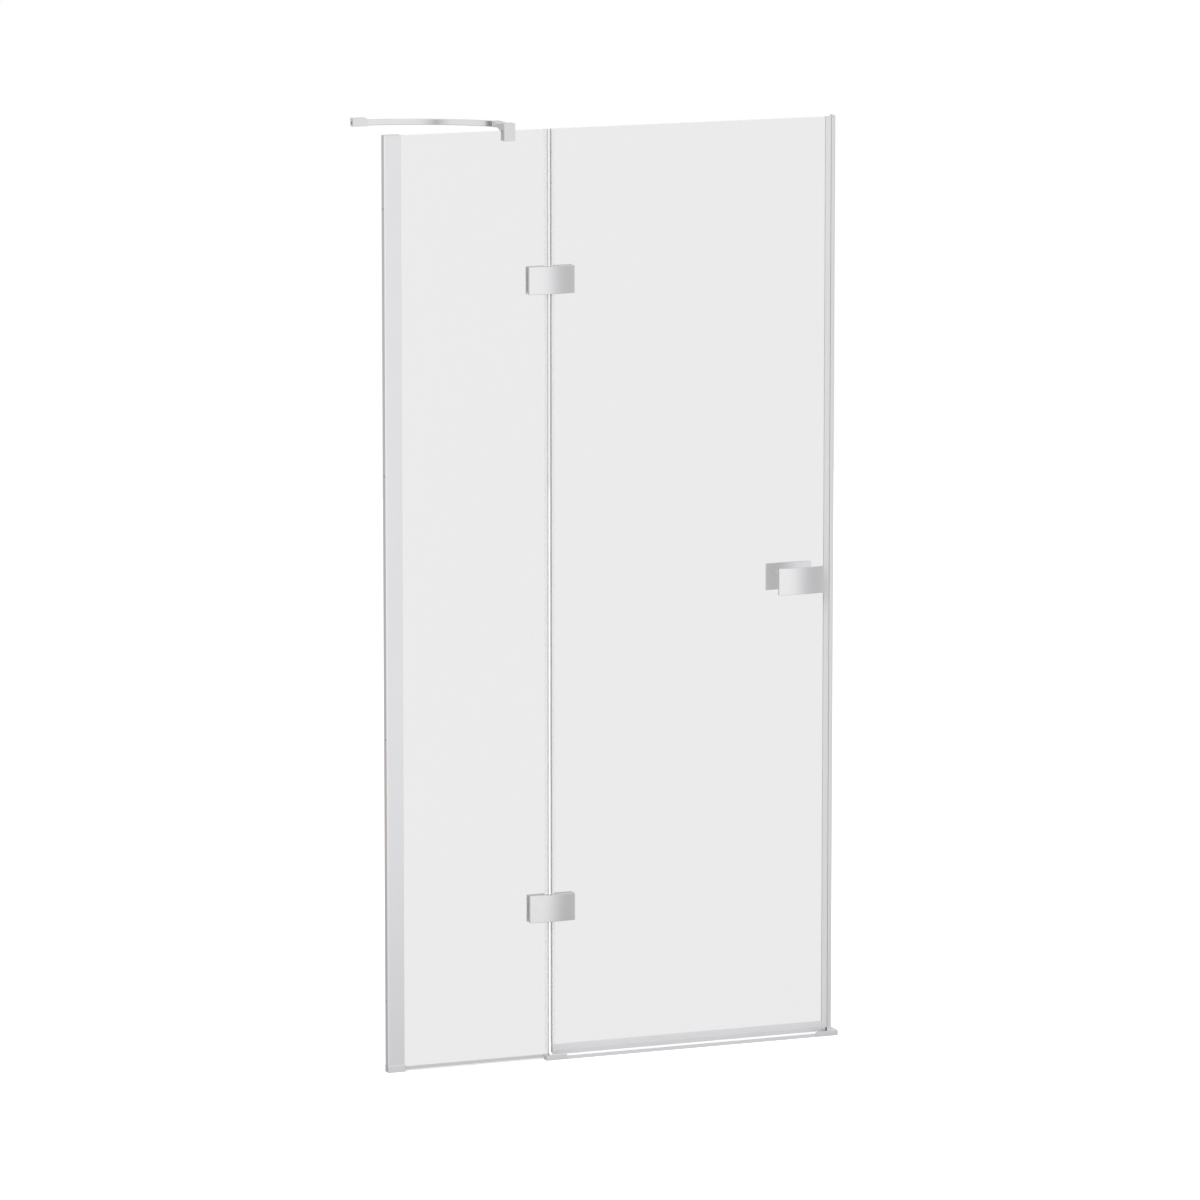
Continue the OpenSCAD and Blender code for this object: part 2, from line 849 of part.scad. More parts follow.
// side is -1 for the front plate and 1 for the back plate
module handle_plate(side) {
    b = 0.6;
    color([0.84, 0.85, 0.87]) scale([1, side, 1]) difference() {
        intersection() {
            span([handle_cx - plate_half, handle_reach - handle_t - 1,
                  handle_z - handle_h/2],
                 [handle_cx + plate_half, arch_top,
                  handle_z + handle_h/2]);
            translate([handle_cx, arch_c, handle_z - handle_h])
                cylinder(r=arch_r, h=2*handle_h, $fn=180);
        }
        translate([handle_cx, arch_c, handle_z - handle_h])
            cylinder(r=arch_r - handle_t, h=2*handle_h, $fn=180);
        rod_y(handle_cx, handle_z, stud_r, 0, stud_end);
    }
}
module handle_front() { handle_plate(-1); }
module handle_back() { handle_plate(1); }

module post(side) {
    color([0.84, 0.85, 0.87]) scale([1, side, 1]) difference() {
        union() {
            rod_y(handle_cx, handle_z, post_r, liner_y, post_end);
            rod_y(handle_cx, handle_z, post_r + 3, post_end - 2, post_end);
        }
        rod_y(handle_cx, handle_z, stud_r, 0, post_end + 1);
    }
}
module post_front() { post(-1); }
module post_back() { post(1); }

module handle_stud() {
    color([0.6, 0.6, 0.62])
        rod_y(handle_cx, handle_z, stud_r - 0.03, 0.1 - stud_end,
              stud_end - 0.1);
}

module handle_sleeve() {
    color([0.85, 0.86, 0.86]) difference() {
        rod_y(handle_cx, handle_z, sleeve_r, -half_t, half_t);
        rod_y(handle_cx, handle_z, stud_r, -half_t - 1, half_t + 1);
    }
}

module handle_washers() {
    color([0.75, 0.77, 0.78]) for (k = [-1, 1]) scale([1, k, 1])
        difference() {
            rod_y(handle_cx, handle_z, post_r - 0.2, half_t, liner_y);
            rod_y(handle_cx, handle_z, stud_r + 0.1, 0, 10);
        }
}

wall_channel();
wall_profile();
gasket_front();
gasket_back();
profile_screws();
foot_cap();
top_cap();
fixed_glass();
sill_seal();
fixed_edge_seal();
strike_profile();
strike_magnet();
threshold_rail();
threshold_cap_left();
threshold_cap_right();
stabiliser_clamp();
clamp_liners();
clamp_screw();
stabiliser_bar();
pivot_screw();
bar_socket();
socket_screw();
low_fixed_leaf();
low_fixed_back();
low_fixed_liners();
low_cover();
low_pin();
high_fixed_leaf();
high_fixed_back();
high_fixed_liners();
high_cover();
high_pin();
fixed_leaf_screws();
cover_screws();
door_glass();
drip_seal();
magnetic_seal();
door_magnet();
door_edge_seal();
low_door_leaf();
low_door_back();
low_door_liners();
low_bush();
high_door_leaf();
high_door_back();
high_door_liners();
high_bush();
door_leaf_screws();
handle_front();
handle_back();
post_front();
post_back();
handle_stud();
handle_sleeve();
handle_washers();
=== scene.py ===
"""The looks of a hinged shower door with a narrow fixed side panel.

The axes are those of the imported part: x runs from the left wall to the right
wall, y points into the shower and z points up from the tray, in metres.
"""

import json
import math

import bmesh
import bpy
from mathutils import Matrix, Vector


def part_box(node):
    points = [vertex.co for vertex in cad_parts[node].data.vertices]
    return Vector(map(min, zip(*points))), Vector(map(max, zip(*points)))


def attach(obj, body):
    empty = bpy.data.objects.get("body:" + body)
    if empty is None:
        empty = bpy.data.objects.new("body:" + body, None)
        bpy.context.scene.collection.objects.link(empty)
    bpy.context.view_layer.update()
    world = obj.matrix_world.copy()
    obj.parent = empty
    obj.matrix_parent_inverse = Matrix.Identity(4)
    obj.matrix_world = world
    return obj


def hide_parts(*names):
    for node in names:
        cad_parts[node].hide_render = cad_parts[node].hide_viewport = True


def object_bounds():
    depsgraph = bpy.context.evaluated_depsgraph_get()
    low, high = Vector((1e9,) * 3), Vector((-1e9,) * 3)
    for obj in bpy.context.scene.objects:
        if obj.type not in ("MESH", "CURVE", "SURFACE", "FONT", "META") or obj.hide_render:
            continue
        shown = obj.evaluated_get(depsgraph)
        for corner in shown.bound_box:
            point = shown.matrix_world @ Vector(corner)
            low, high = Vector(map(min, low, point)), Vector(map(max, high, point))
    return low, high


bl_info = {
    "name": "Hinged shower door",
    "version": (1, 0, 0),
    "blender": (4, 5, 0),
    "location": "View3D > Sidebar > Shower Door",
    "description": "Builds the finished pieces of a hinged shower door",
    "category": "Object",
}

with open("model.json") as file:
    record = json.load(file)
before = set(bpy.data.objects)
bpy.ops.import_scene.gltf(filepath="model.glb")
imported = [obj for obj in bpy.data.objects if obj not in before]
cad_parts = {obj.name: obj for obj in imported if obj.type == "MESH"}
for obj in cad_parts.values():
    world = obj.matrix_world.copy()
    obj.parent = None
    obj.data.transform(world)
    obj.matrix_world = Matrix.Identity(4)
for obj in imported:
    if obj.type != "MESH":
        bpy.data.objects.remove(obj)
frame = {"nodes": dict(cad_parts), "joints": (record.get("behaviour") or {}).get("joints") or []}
cad_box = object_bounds()
MM = 0.001
HINGES = ("low", "high")
HINGE_AXIS = frame["joints"][0]["pos_m"][0]
# How far a cutting tool reaches past the surface that it cuts
PAST = 0.01
# Between the glass and a seal that grips it
SEAL_PLAY = 0.03 * MM
# The finest bevel, on edges that are only just broken
FINE_EDGE = 0.15 * MM
# Height of the brace's strip
BAR_HEIGHT = 12 * MM
WHITE = (1, 1, 1, 1)


def span(node, axis):
    """Where a CAD node starts and ends along x, y or z."""
    low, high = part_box(node)
    return getattr(low, axis), getattr(high, axis)


# Shapes


def on_axis(axis, u, v, along):
    """The point of an outline (u, v) that is drawn square to an axis."""
    points = {"X": (along, u, v), "Y": (u, along, v), "Z": (u, v, along)}
    return Vector(points[axis])


def make_piece(name, shape):
    """Turns a bmesh into an object of the scene."""
    bmesh.ops.recalc_face_normals(shape, faces=shape.faces)
    mesh = bpy.data.meshes.new(name)
    shape.to_mesh(mesh)
    shape.free()
    piece = bpy.data.objects.new(name, mesh)
    bpy.context.scene.collection.objects.link(piece)
    return piece


def skin(name, rings):
    """A closed skin over rings of points, with both ends filled."""
    shape = bmesh.new()
    rings = [[shape.verts.new(point) for point in ring] for ring in rings]
    for one, two in zip(rings, rings[1:]):
        for i in range(len(one)):
            j = (i + 1) % len(one)
            shape.faces.new((one[i], one[j], two[j], two[i]))
    shape.faces.new(rings[0][::-1])
    shape.faces.new(rings[-1])
    return make_piece(name, shape)


def prism(name, outline, axis, start, end):
    """An outline drawn out along an axis from start to end."""
    return skin(name, [[on_axis(axis, u, v, at) for u, v in outline]
                       for at in (start, end)])


def block(name, low, high):
    """A straight block between two corners."""
    outline = [(low[0], low[1]), (high[0], low[1]), (high[0], high[1]),
               (low[0], high[1])]
    return prism(name, outline, "Z", low[2], high[2])


def turned(name, profile, centre, axis, steps=64):
    """A turned shape: profile points (radius, height) around an axis."""
    angles = [2 * math.pi * k / steps for k in range(steps)]
    return skin(name, [
        [Vector(centre) + on_axis(
            axis, radius * math.cos(a), radius * math.sin(a), height)
         for a in angles]
        for radius, height in profile])


def rod(name, centre, radius, start, end, axis, steps=48):
    """A round bar along an axis."""
    return turned(name, [(radius, start), (radius, end)], centre, axis, steps)


def arc(cx, cy, radius, first, last, steps):
    """Points of an arc, with its two angles in degrees."""
    angles = [math.radians(first + (last - first) * k / steps)
              for k in range(steps + 1)]
    return [(cx + radius * math.cos(a), cy + radius * math.sin(a))
            for a in angles]


def bow(half, bulge):
    """Radius and half angle of an arc whose middle stands out by a bulge."""
    radius = (half * half + bulge * bulge) / (2 * bulge)
    return radius, math.degrees(math.asin(half / radius))


def settle(piece):
    """Applies the modifiers of a piece to its mesh."""
    graph = bpy.context.evaluated_depsgraph_get()
    mesh = bpy.data.meshes.new_from_object(piece.evaluated_get(graph))
    piece.modifiers.clear()
    old = piece.data
    piece.data = mesh
    bpy.data.meshes.remove(old)
    mesh.name = piece.name


def combine(piece, tools, operation):
    """Joins tools to a piece, or cuts them out of it, and drops the tools."""
    for tool in tools:
        step = piece.modifiers.new("combine", "BOOLEAN")
        step.operation = operation
        step.object = tool
        step.solver = "EXACT"
    settle(piece)
    for tool in tools:
        mesh = tool.data
        bpy.data.objects.remove(tool)
        bpy.data.meshes.remove(mesh)


def cut(piece, *tools):
    combine(piece, tools, "DIFFERENCE")


def join(piece, *tools):
    combine(piece, tools, "UNION")


def smooth(piece, angle=32):
    """Shades a piece smooth, with flat faces kept flat."""
    mesh = piece.data
    mesh.polygons.foreach_set("use_smooth", [True] * len(mesh.polygons))
    mesh.set_sharp_from_angle(angle=math.radians(angle))
    step = piece.modifiers.new("normals", "WEIGHTED_NORMAL")
    step.keep_sharp = True
    settle(piece)


def break_edges(piece, radius, segments, angle):
    """Adds the modifiers that round a piece's edges."""
    weld = piece.modifiers.new("weld", "WELD")
    weld.merge_threshold = 0.002 * MM
    edges = piece.modifiers.new("edges", "BEVEL")
    edges.width = radius
    edges.segments = segments
    edges.limit_method = "ANGLE"
    edges.angle_limit = math.radians(angle)


def soften(piece, radius, segments=3, angle=38):
    """Rounds the sharp edges of a piece for good."""
    break_edges(piece, radius, segments, angle)
    settle(piece)
    smooth(piece)


# Finishes


def feed(tree, node, inputs):
    """Sets a shader node's inputs to values or to other nodes' sockets."""
    for name, value in inputs.items():
        if isinstance(value, bpy.types.NodeSocket):
            tree.links.new(value, node.inputs[name])
        else:
            node.inputs[name].default_value = value


def add_node(tree, kind, inputs, **settings):
    """A new shader node with its settings and inputs."""
    node = tree.nodes.new(kind)
    for name, value in settings.items():
        setattr(node, name, value)
    feed(tree, node, inputs)
    return node


def calculate(tree, operation, one, two, **settings):
    """One step of arithmetic on two values."""
    return add_node(tree, "ShaderNodeMath", {0: one, 1: two},
                    operation=operation, **settings).outputs["Value"]


def mix_shaders(tree, share, one, two):
    """One shader where the share is 0 and the other where it is 1."""
    return add_node(tree, "ShaderNodeMixShader", {
        "Fac": share, 1: one, 2: two}).outputs["Shader"]


def see_through(tree, colour):
    return add_node(tree, "ShaderNodeBsdfTransparent", {
        "Color": colour}).outputs["BSDF"]


def begin(name):
    """A new material with its tree and its shader."""
    finish = bpy.data.materials.new(name)
    finish.use_nodes = True
    tree = finish.node_tree
    return finish, tree, tree.nodes["Principled BSDF"]


def coat(tree, shader):
    """Makes a shader the surface of its material."""
    feed(tree, tree.nodes["Material Output"], {"Surface": shader})


def cloud(tree, scale, detail, stretch=(1, 1, 1)):
    """Soft noise over a piece, drawn out where stretch is below 1."""
    place = tree.nodes.new("ShaderNodeTexCoord").outputs["Object"]
    mapping = add_node(tree, "ShaderNodeMapping", {
        "Scale": stretch, "Vector": place})
    return add_node(tree, "ShaderNodeTexNoise", {
        "Scale": scale, "Detail": detail,
        "Vector": mapping.outputs["Vector"]}).outputs["Fac"]


def about(tree, noise, middle, spread):
    """A value that noise moves to both sides of its middle."""
    return add_node(tree, "ShaderNodeMapRange", {
        "From Min": 0.3, "From Max": 0.7, "To Min": middle - spread,
        "To Max": middle + spread, "Value": noise}).outputs["Result"]


def uneven(tree, noise, colour, share):
    """A colour that noise dims to a share of itself."""
    dim = (*(c * share for c in colour), 1)
    return add_node(tree, "ShaderNodeMix", {
        "A": (*colour, 1), "B": dim, "Factor": noise},
        data_type="RGBA").outputs["Result"]


def relief(tree, noise, strength, depth):
    """The normals of a surface with a fine relief."""
    return add_node(tree, "ShaderNodeBump", {
        "Strength": strength, "Distance": depth,
        "Height": noise}).outputs["Normal"]


def metal(name, colour, rough, spread, brushed=None, haze=0.96):
    """A metal with faint haze, uneven polish and, if brushed, fine lines."""
    finish, tree, shader = begin(name)
    if brushed:
        marks = cloud(tree, 900.0, 2.0, brushed)
        normal = relief(tree, marks, 0.05, 0.02 * MM)
    else:
        marks = cloud(tree, 55.0, 5.0)
        normal = relief(tree, cloud(tree, 28.0, 1.0), 0.01, 0.01 * MM)
    feed(tree, shader, {
        "Metallic": 1.0,
        "Base Color": uneven(tree, cloud(tree, 9.0, 4.0), colour, haze),
        "Roughness": about(tree, marks, rough, spread),
        "Normal": normal})
    return finish


def plastic(name, colour, rough, grain, depth=0.02):
    """A moulded or extruded plastic with fine grain and uneven colour."""
    finish, tree, shader = begin(name)
    pores = cloud(tree, grain, 3.0)
    feed(tree, shader, {
        "Base Color": uneven(tree, cloud(tree, 14.0, 4.0), colour, 0.94),
        "Roughness": about(tree, pores, rough, 0.06),
        "Normal": relief(tree, pores, 0.12, depth * MM)})
    return finish


def pane_glass(name, colour):
    """Toughened glass: clear to the eye and to the lamps, faintly filmed."""
    finish, tree, shader = begin(name)
    film = cloud(tree, 3.2, 5.0, (1, 1, 0.35))
    feed(tree, shader, {
        "Base Color": uneven(tree, film, colour, 0.996),
        "Roughness": 0.0, "IOR": 1.45, "Transmission Weight": 1.0})
    path = tree.nodes.new("ShaderNodeLightPath").outputs
    # A ray that glass has bent also counts as glossy, so it is taken off
    mirrored = calculate(tree, "SUBTRACT", path["Is Glossy Ray"],
                         path["Is Transmission Ray"], use_clamp=True)
    passed = calculate(
        tree, "MAXIMUM", path["Is Shadow Ray"], path["Is Diffuse Ray"])
    passed = calculate(tree, "MAXIMUM", passed, mirrored)
    coat(tree, mix_shaders(tree, passed, shader.outputs["BSDF"],
                           see_through(tree, (0.96, 0.965, 0.965, 1))))
    return finish


def clear_strip(name, colour, share, rough):
    """A clear plastic section, part see-through."""
    finish, tree, shader = begin(name)
    patches = cloud(tree, 6.0, 2.0, (1, 1, 0.3))
    feed(tree, shader, {
        "Base Color": uneven(tree, patches, colour, 0.98),
        "Roughness": about(tree, patches, rough, 0.02)})
    coat(tree, mix_shaders(tree, share, see_through(tree, WHITE),
                           shader.outputs["BSDF"]))
    return finish


UPRIGHT = (1, 1, 0.004)
LEVEL = (0.004, 1, 1)
# Each finish: its maker, its colour and the maker's other values
FINISHES = {
    "chrome": (metal, "chrome", 0.06, 0.02),
    # A paler copy of chrome. On the back handle plate it is painted light, a brighter copy of
    # the front plate's chrome
    "pale_chrome": (metal, "pale", 0.08, 0.02),
    "bright_aluminium": (metal, "aluminium", 0.09, 0.02, UPRIGHT),
    "mill_aluminium": (metal, "mill", 0.38, 0.07, UPRIGHT, 0.9),
    "rail_metal": (metal, "aluminium", 0.14, 0.03, LEVEL),
    "satin_cap": (metal, "caps", 0.12, 0.02),
    "plated_leaf": (metal, "plated", 0.24, 0.05),
    "steel": (metal, "steel", 0.25, 0.06, UPRIGHT, 0.92),
    "clear_glass": (pane_glass, "glass"),
    "ground_edge": (clear_strip, "ground", 0.35, 0.5),
    "clear_edge_strip": (clear_strip, "strip", 0.05, 0.2),
    "strip_lip": (clear_strip, "lip", 0.45, 0.3),
    "grey_seal": (plastic, "seal", 0.38, 300.0),
    "foot_seal": (plastic, "foot_seal", 0.34, 300.0),
    "sill_seal": (plastic, "sill_seal", 0.40, 300.0),
    "dark_gasket": (plastic, "gasket", 0.55, 500.0, 0.04),
    "soft_liner": (plastic, "liner", 0.45, 350.0),
    "nylon": (plastic, "nylon", 0.42, 260.0),
    "magnet_strip": (plastic, "magnet", 0.6, 700.0, 0.05),
}


def finish_of(name):
    """The finish of that name, made at its first use."""
    title = "fin_" + name
    if title not in bpy.data.materials:
        maker, tone, *values = FINISHES[name]
        look = bpy.context.scene.door_finishes
        maker(title, getattr(look, tone), *values)
    return bpy.data.materials[title]


def dress(piece, body, slot, nodes, finish=None, mirrored=True):
    """Gives a piece its finish and its body, in place of CAD nodes.

    A piece that isn't mirrored stays out of the images in nearby metal.
    """
    piece.data.materials.clear()
    piece.data.materials.append(finish_of(finish or slot))
    piece.visible_glossy = mirrored
    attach(piece, body)
    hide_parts(*nodes)


def refinish_faces(piece, finish, chosen):
    """Gives a second finish to the faces that a test picks."""
    piece.data.materials.append(finish_of(finish))
    for face in piece.data.polygons:
        if chosen(face):
            face.material_index = 1


def refinish(nodes, finish):
    """Keeps CAD nodes as they are and gives them a finish."""
    for name in nodes:
        node = frame["nodes"][name]
        node.data.materials.clear()
        node.data.materials.append(finish_of(finish))
        break_edges(node, FINE_EDGE, 2, 40)


# What a user may change


def length(name, text, default):
    return bpy.props.FloatProperty(
        name=name, description=text, default=default * MM, min=0,
        unit="LENGTH", precision=5)


def colour(name, text, default):
    return bpy.props.FloatVectorProperty(
        name=name, description=text, default=default, min=0, max=1, size=3,
        subtype="COLOR")


class DoorSizes(bpy.types.PropertyGroup):
    profile_wall: length(
        "Profile wall", "Wall thickness of the left profile", 2.0)
    profile_edge: length(
        "Profile edge", "Bevel along the left profile's corners", 2.2)
    glass_edge: length(
        "Glass edge", "Ground bevel along the panes' edges", 0.6)
    cover_edge: length(
        "Cover edge", "Rounding of the hinge covers' edges", 0.6)
    cover_wall: length("Cover wall", "Wall of the hinge covers", 1.8)
    cover_bulge: length(
        "Cover bulge", "How far a cover's middle stands out", 4.0)
    plate_edge: length(
        "Plate edge", "Rounding of the inner hinge plates", 0.7)
    handle_edge: length(
        "Handle edge", "Rounding of the handle plates' edges", 0.5)
    handle_thick: length(
        "Handle thickness", "Thickness of the handle plates", 5.0)
    handle_bulge: length(
        "Handle bulge", "How far a plate's middle stands out", 4.0)
    post_radius: length("Post radius", "Radius of the handle posts", 10.0)
    seal_edge: length("Seal edge", "Rounding of the sill seal's edges", 0.35)
    back_lip: length(
        "Back lip", "How much shorter a seal's lip is behind the glass", 1.5)
    cap_edge: length("Cap edge", "Rounding of the end caps' edges", 0.3)
    clamp_edge: length("Clamp edge", "Rounding of the glass clamp", 0.6)
    bar_radius: length("Brace radius", "Radius of the brace in plan", 360.0)
    bar_thick: length("Brace thickness", "Thickness of the brace", 6.0)
    socket_edge: length("Socket edge", "Rounding of the wall socket", 0.7)


class DoorFinishes(bpy.types.PropertyGroup):
    chrome: colour("Chrome", "Covers, handle and brace", (0.90, 0.895, 0.90))
    # Paler than chrome. On the back handle plate this paleness is painted light that brightens
    # it behind the pane
    pale: colour(
        "Pale chrome", "Brace's socket and the back handle plate",
        (0.98, 0.98, 0.985))
    aluminium: colour("Aluminium", "Profiles and rail", (0.96, 0.96, 0.97))
    mill: colour("Mill aluminium", "Hidden channel", (0.95, 0.94, 0.94))
    caps: colour("Caps", "End, foot and top caps", (0.95, 0.95, 0.965))
    plated: colour("Plated leaf", "Leaves of the hinges", (0.78, 0.78, 0.79))
    steel: colour("Steel", "Screws, pins and stud", (0.66, 0.66, 0.67))
    glass: colour("Glass", "Tint of the panes", (0.838, 0.838, 0.838))
    ground: colour("Ground edge", "Edges of the panes", (0.80, 0.82, 0.82))
    strip: colour("Clear strip", "Clear edge strips", (0.70, 0.70, 0.71))
    lip: colour("Strip lip", "Lips of the edge strips", (0.42, 0.41, 0.42))
    seal: colour("Seal", "Closing seal", (0.74, 0.735, 0.735))
    foot_seal: colour(
        "Foot seal", "Drip seal under the door", (0.78, 0.78, 0.80))
    sill_seal: colour(
        "Sill seal", "Seal under the fixed pane", (0.63, 0.62, 0.625))
    gasket: colour("Gasket", "Wedge gaskets", (0.84, 0.84, 0.85))
    liner: colour("Liner", "Soft liners", (0.62, 0.63, 0.64))
    nylon: colour("Nylon", "Bushes and sleeve", (0.80, 0.79, 0.76))
    magnet: colour("Magnet", "Magnet strip", (0.27, 0.265, 0.265))


class DoorStudio(bpy.types.PropertyGroup):
    soft_light: bpy.props.FloatProperty(
        name="Soft light", description="Even light from all around",
        default=0.78, min=0)
    key_power: bpy.props.FloatProperty(
        name="Key lamp", description="Power of the large front lamp",
        default=120.0, min=0, unit="POWER")
    floor_size: bpy.props.FloatProperty(
        name="Floor size", description="Width of the floor", default=14.0,
        min=1, unit="LENGTH")
    lens: bpy.props.FloatProperty(
        name="Lens", description="Focal length in millimetres",
        default=241.19, min=1, unit="CAMERA")


# Wall profile


def wall_profile(sizes):
    """A section with a cavity for the channel and one for the pane."""
    low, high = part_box("wall_profile")
    left = low.x
    right = high.x
    half = high.y
    wall = sizes.profile_wall
    edge = sizes.profile_edge
    tight = 0.4 * MM
    inner = half - wall
    web = right - 13.5 * MM
    pocket = web + wall
    lip = 1.5 * MM
    mouth = inner - 1.2 * MM
    outline = [
        (left, half), (left, inner), (web, inner), (web, -inner),
        (left, -inner), (left, edge - half), (left + edge, -half),
        (right - tight, -half), (right, tight - half), (right, -mouth),
        (right - lip, -mouth), (right - lip, -inner), (pocket, -inner),
        (pocket, inner), (right - lip, inner), (right - lip, mouth),
        (right, mouth), (right, half - tight), (right - tight, half)]
    profile = prism("wall_profile_shell", outline, "Z", low.z, high.z)
    soften(profile, FINE_EDGE, 2)
    dress(profile, "frame", "bright_aluminium", ["wall_profile"],
          mirrored=False)


def foot_cap():
    """The foot cap, with a slot that the pane stands in."""
    low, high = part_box("foot_cap")
    pane_low, pane_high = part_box("fixed_glass")
    rim = span("wall_profile", "z")[0]
    slope = 1.5 * MM
    play = 1.2 * MM
    half = high.y
    outline = [
        (-half, low.z), (half, low.z), (half, rim - slope),
        (half - slope, rim), (slope - half, rim), (-half, rim - slope)]
    cap = prism("foot_cap_body", outline, "X", low.x, high.x)
    cut(cap, block(
        "slot", (pane_low.x - 1.0 * MM, pane_low.y - play, -PAST),
        (high.x + PAST, pane_high.y + play, rim + PAST)))
    soften(cap, 0.35 * MM, 3, 30)
    dress(cap, "frame", "satin_cap", ["foot_cap"])


def top_cap():
    low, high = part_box("top_cap")
    rim = span("wall_profile", "z")[1]
    plate = block("top_cap_plate", (low.x, low.y, rim), high)
    soften(plate, FINE_EDGE)
    dress(plate, "frame", "satin_cap", ["top_cap"], mirrored=False)


def gasket(node):
    """A wedge gasket with a lip that turns over the profile's edge."""
    low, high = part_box(node)
    side = 1 if low.y > 0 else -1
    near = min(abs(low.y), abs(high.y))
    far = max(abs(low.y), abs(high.y))
    lip = far - 1.3 * MM
    step = high.x - 2.4 * MM
    outline = [
        (low.x, near), (high.x - 0.3 * MM, near), (high.x, near + 0.2 * MM),
        (high.x - 0.1 * MM, lip - 0.2 * MM), (high.x - 0.5 * MM, lip),
        (step, lip), (step, far), (low.x + 2.0 * MM, far),
        (low.x, far - 0.8 * MM)]
    strip = prism(node + "_wedge", [(x, side * y) for x, y in outline], "Z",
                  low.z, high.z)
    soften(strip, FINE_EDGE, 2)
    dress(strip, "frame", "dark_gasket", [node], mirrored=False)


class SHOWER_OT_wall_profile(bpy.types.Operator):
    """Left wall profile with its foot cap, top cap and gaskets"""

    bl_idname = "shower.wall_profile"
    bl_label = "Wall profile"

    def execute(self, context):
        wall_profile(context.scene.door_sizes)
        foot_cap()
        top_cap()
        gasket("gasket_front")
        gasket("gasket_back")
        refinish(["wall_channel"], "mill_aluminium")
        return {"FINISHED"}


# Panes and their edge strips


def pane_outline(pane, side, notch, radius):
    """A pane's outline with a rounded notch at each hinge."""
    low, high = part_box(pane)
    outer, inner = (low.x, high.x) if side < 0 else (high.x, low.x)
    fold = notch - side * radius
    start, bend, end = (270, 180, 90) if side < 0 else (270, 360, 450)
    points = [(outer, high.z), (outer, low.z), (inner, low.z)]
    for height in HINGES:
        leaf = span(height + "_fixed_leaf", "z")
        centre = (leaf[0] + leaf[1]) / 2
        half = (leaf[1] - leaf[0]) / 2 + 0.5 * MM
        bottom = centre - half
        top = centre + half
        points.append((inner, bottom))
        points += arc(fold, bottom + radius, radius, start, bend, 10)
        points += arc(fold, top - radius, radius, bend, end, 10)
        points.append((inner, top))
    return points + [(inner, high.z)]


def handle_hole():
    """The tool that drills the door's pane."""
    low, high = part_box("handle_sleeve")
    middle = (low + high) / 2
    return rod("hole", (middle.x, 0, middle.z),
               (high.x - low.x) / 2 + 0.1 * MM, -0.02, 0.02, "Y")


def glass_sheet(node, body, side, sizes):
    """A pane with ground edges."""
    low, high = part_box(node)
    notch = HINGE_AXIS + side * 24 * MM
    outline = pane_outline(node, side, notch, 6 * MM)
    sheet = prism(node + "_sheet", outline, "Y", low.y, high.y)
    if body == "door":
        cut(sheet, handle_hole())
    soften(sheet, sizes.glass_edge, 2, 50)
    dress(sheet, body, "clear_glass", [node])
    refinish_faces(
        sheet, "ground_edge", lambda face: abs(face.normal.y) < 0.99)


def strip_runs(low, high):
    """The stretches between the hinges, bottom to top."""
    play = 0.3 * MM
    ends = [low]
    for height in HINGES:
        bottom, top = span(height + "_cover", "z")
        ends += [bottom - play, top + play]
    ends.append(high)
    return zip(ends[::2], ends[1::2])


def edge_strip(node, pane, body, side):
    """A clear strip in three runs on the edge of a pane."""
    low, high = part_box(node)
    half = high.y
    slot = span(pane, "y")[1] + SEAL_PLAY
    tip, root = (high.x, low.x) if side < 0 else (low.x, high.x)
    floor = tip + side * 0.97 * MM
    slope = root - side * 0.8 * MM
    nose = tip + side * 0.4 * MM
    outline = [
        (root, half - 0.5 * MM), (slope, half), (nose, half),
        (tip, half - 0.4 * MM), (tip, 0.4 * MM - half), (nose, -half),
        (slope, -half), (root, 0.5 * MM - half), (root, -slot),
        (floor, -slot), (floor, slot), (root, slot)]
    for k, (start, end) in enumerate(strip_runs(low.z, high.z)):
        strip = prism(f"{body}_strip_{k + 1}", outline, "Z", start, end)
        soften(strip, FINE_EDGE, 2)
        dress(strip, body, "clear_edge_strip", [node])
        refinish_faces(
            strip, "strip_lip",
            lambda face: side * (face.center.x - floor) < 0.05 * MM)


class SHOWER_OT_panes(bpy.types.Operator):
    """The fixed pane and the door's pane, with ground edges"""

    bl_idname = "shower.panes"
    bl_label = "Glass panes"

    def execute(self, context):
        sizes = context.scene.door_sizes
        glass_sheet("fixed_glass", "frame", -1, sizes)
        glass_sheet("door_glass", "door", 1, sizes)
        return {"FINISHED"}


class SHOWER_OT_edge_strips(bpy.types.Operator):
    """Clear strips on the two edges that meet at the hinges"""

    bl_idname = "shower.edge_strips"
    bl_label = "Edge strips"

    def execute(self, context):
        edge_strip("fixed_edge_seal", "fixed_glass", "frame", -1)
        edge_strip("door_edge_seal", "door_glass", "door", 1)
        return {"FINISHED"}


# Seals


def sill_seal(sizes):
    """A channel under the fixed pane with a soft foot."""
    low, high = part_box("sill_seal")
    pane_low, pane_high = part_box("fixed_glass")
    half = high.y
    foot = half - 1.6 * MM
    slot = pane_high.y + SEAL_PLAY
    waist = low.z + 3.2 * MM
    back = high.z - sizes.back_lip
    outline = [
        (-foot, low.z), (foot, low.z), (foot, waist), (half, waist),
        (half, back), (slot, back), (slot, pane_low.z), (-slot, pane_low.z),
        (-slot, high.z), (-half, high.z), (-half, waist), (-foot, waist)]
    seal = prism("sill_channel", outline, "X", low.x, high.x)
    soften(seal, sizes.seal_edge, 2)
    dress(seal, "frame", "grey_seal", ["sill_seal"], "sill_seal")
    refinish_faces(seal, "clear_edge_strip",
                   lambda face: face.center.z < waist - 0.1 * MM)


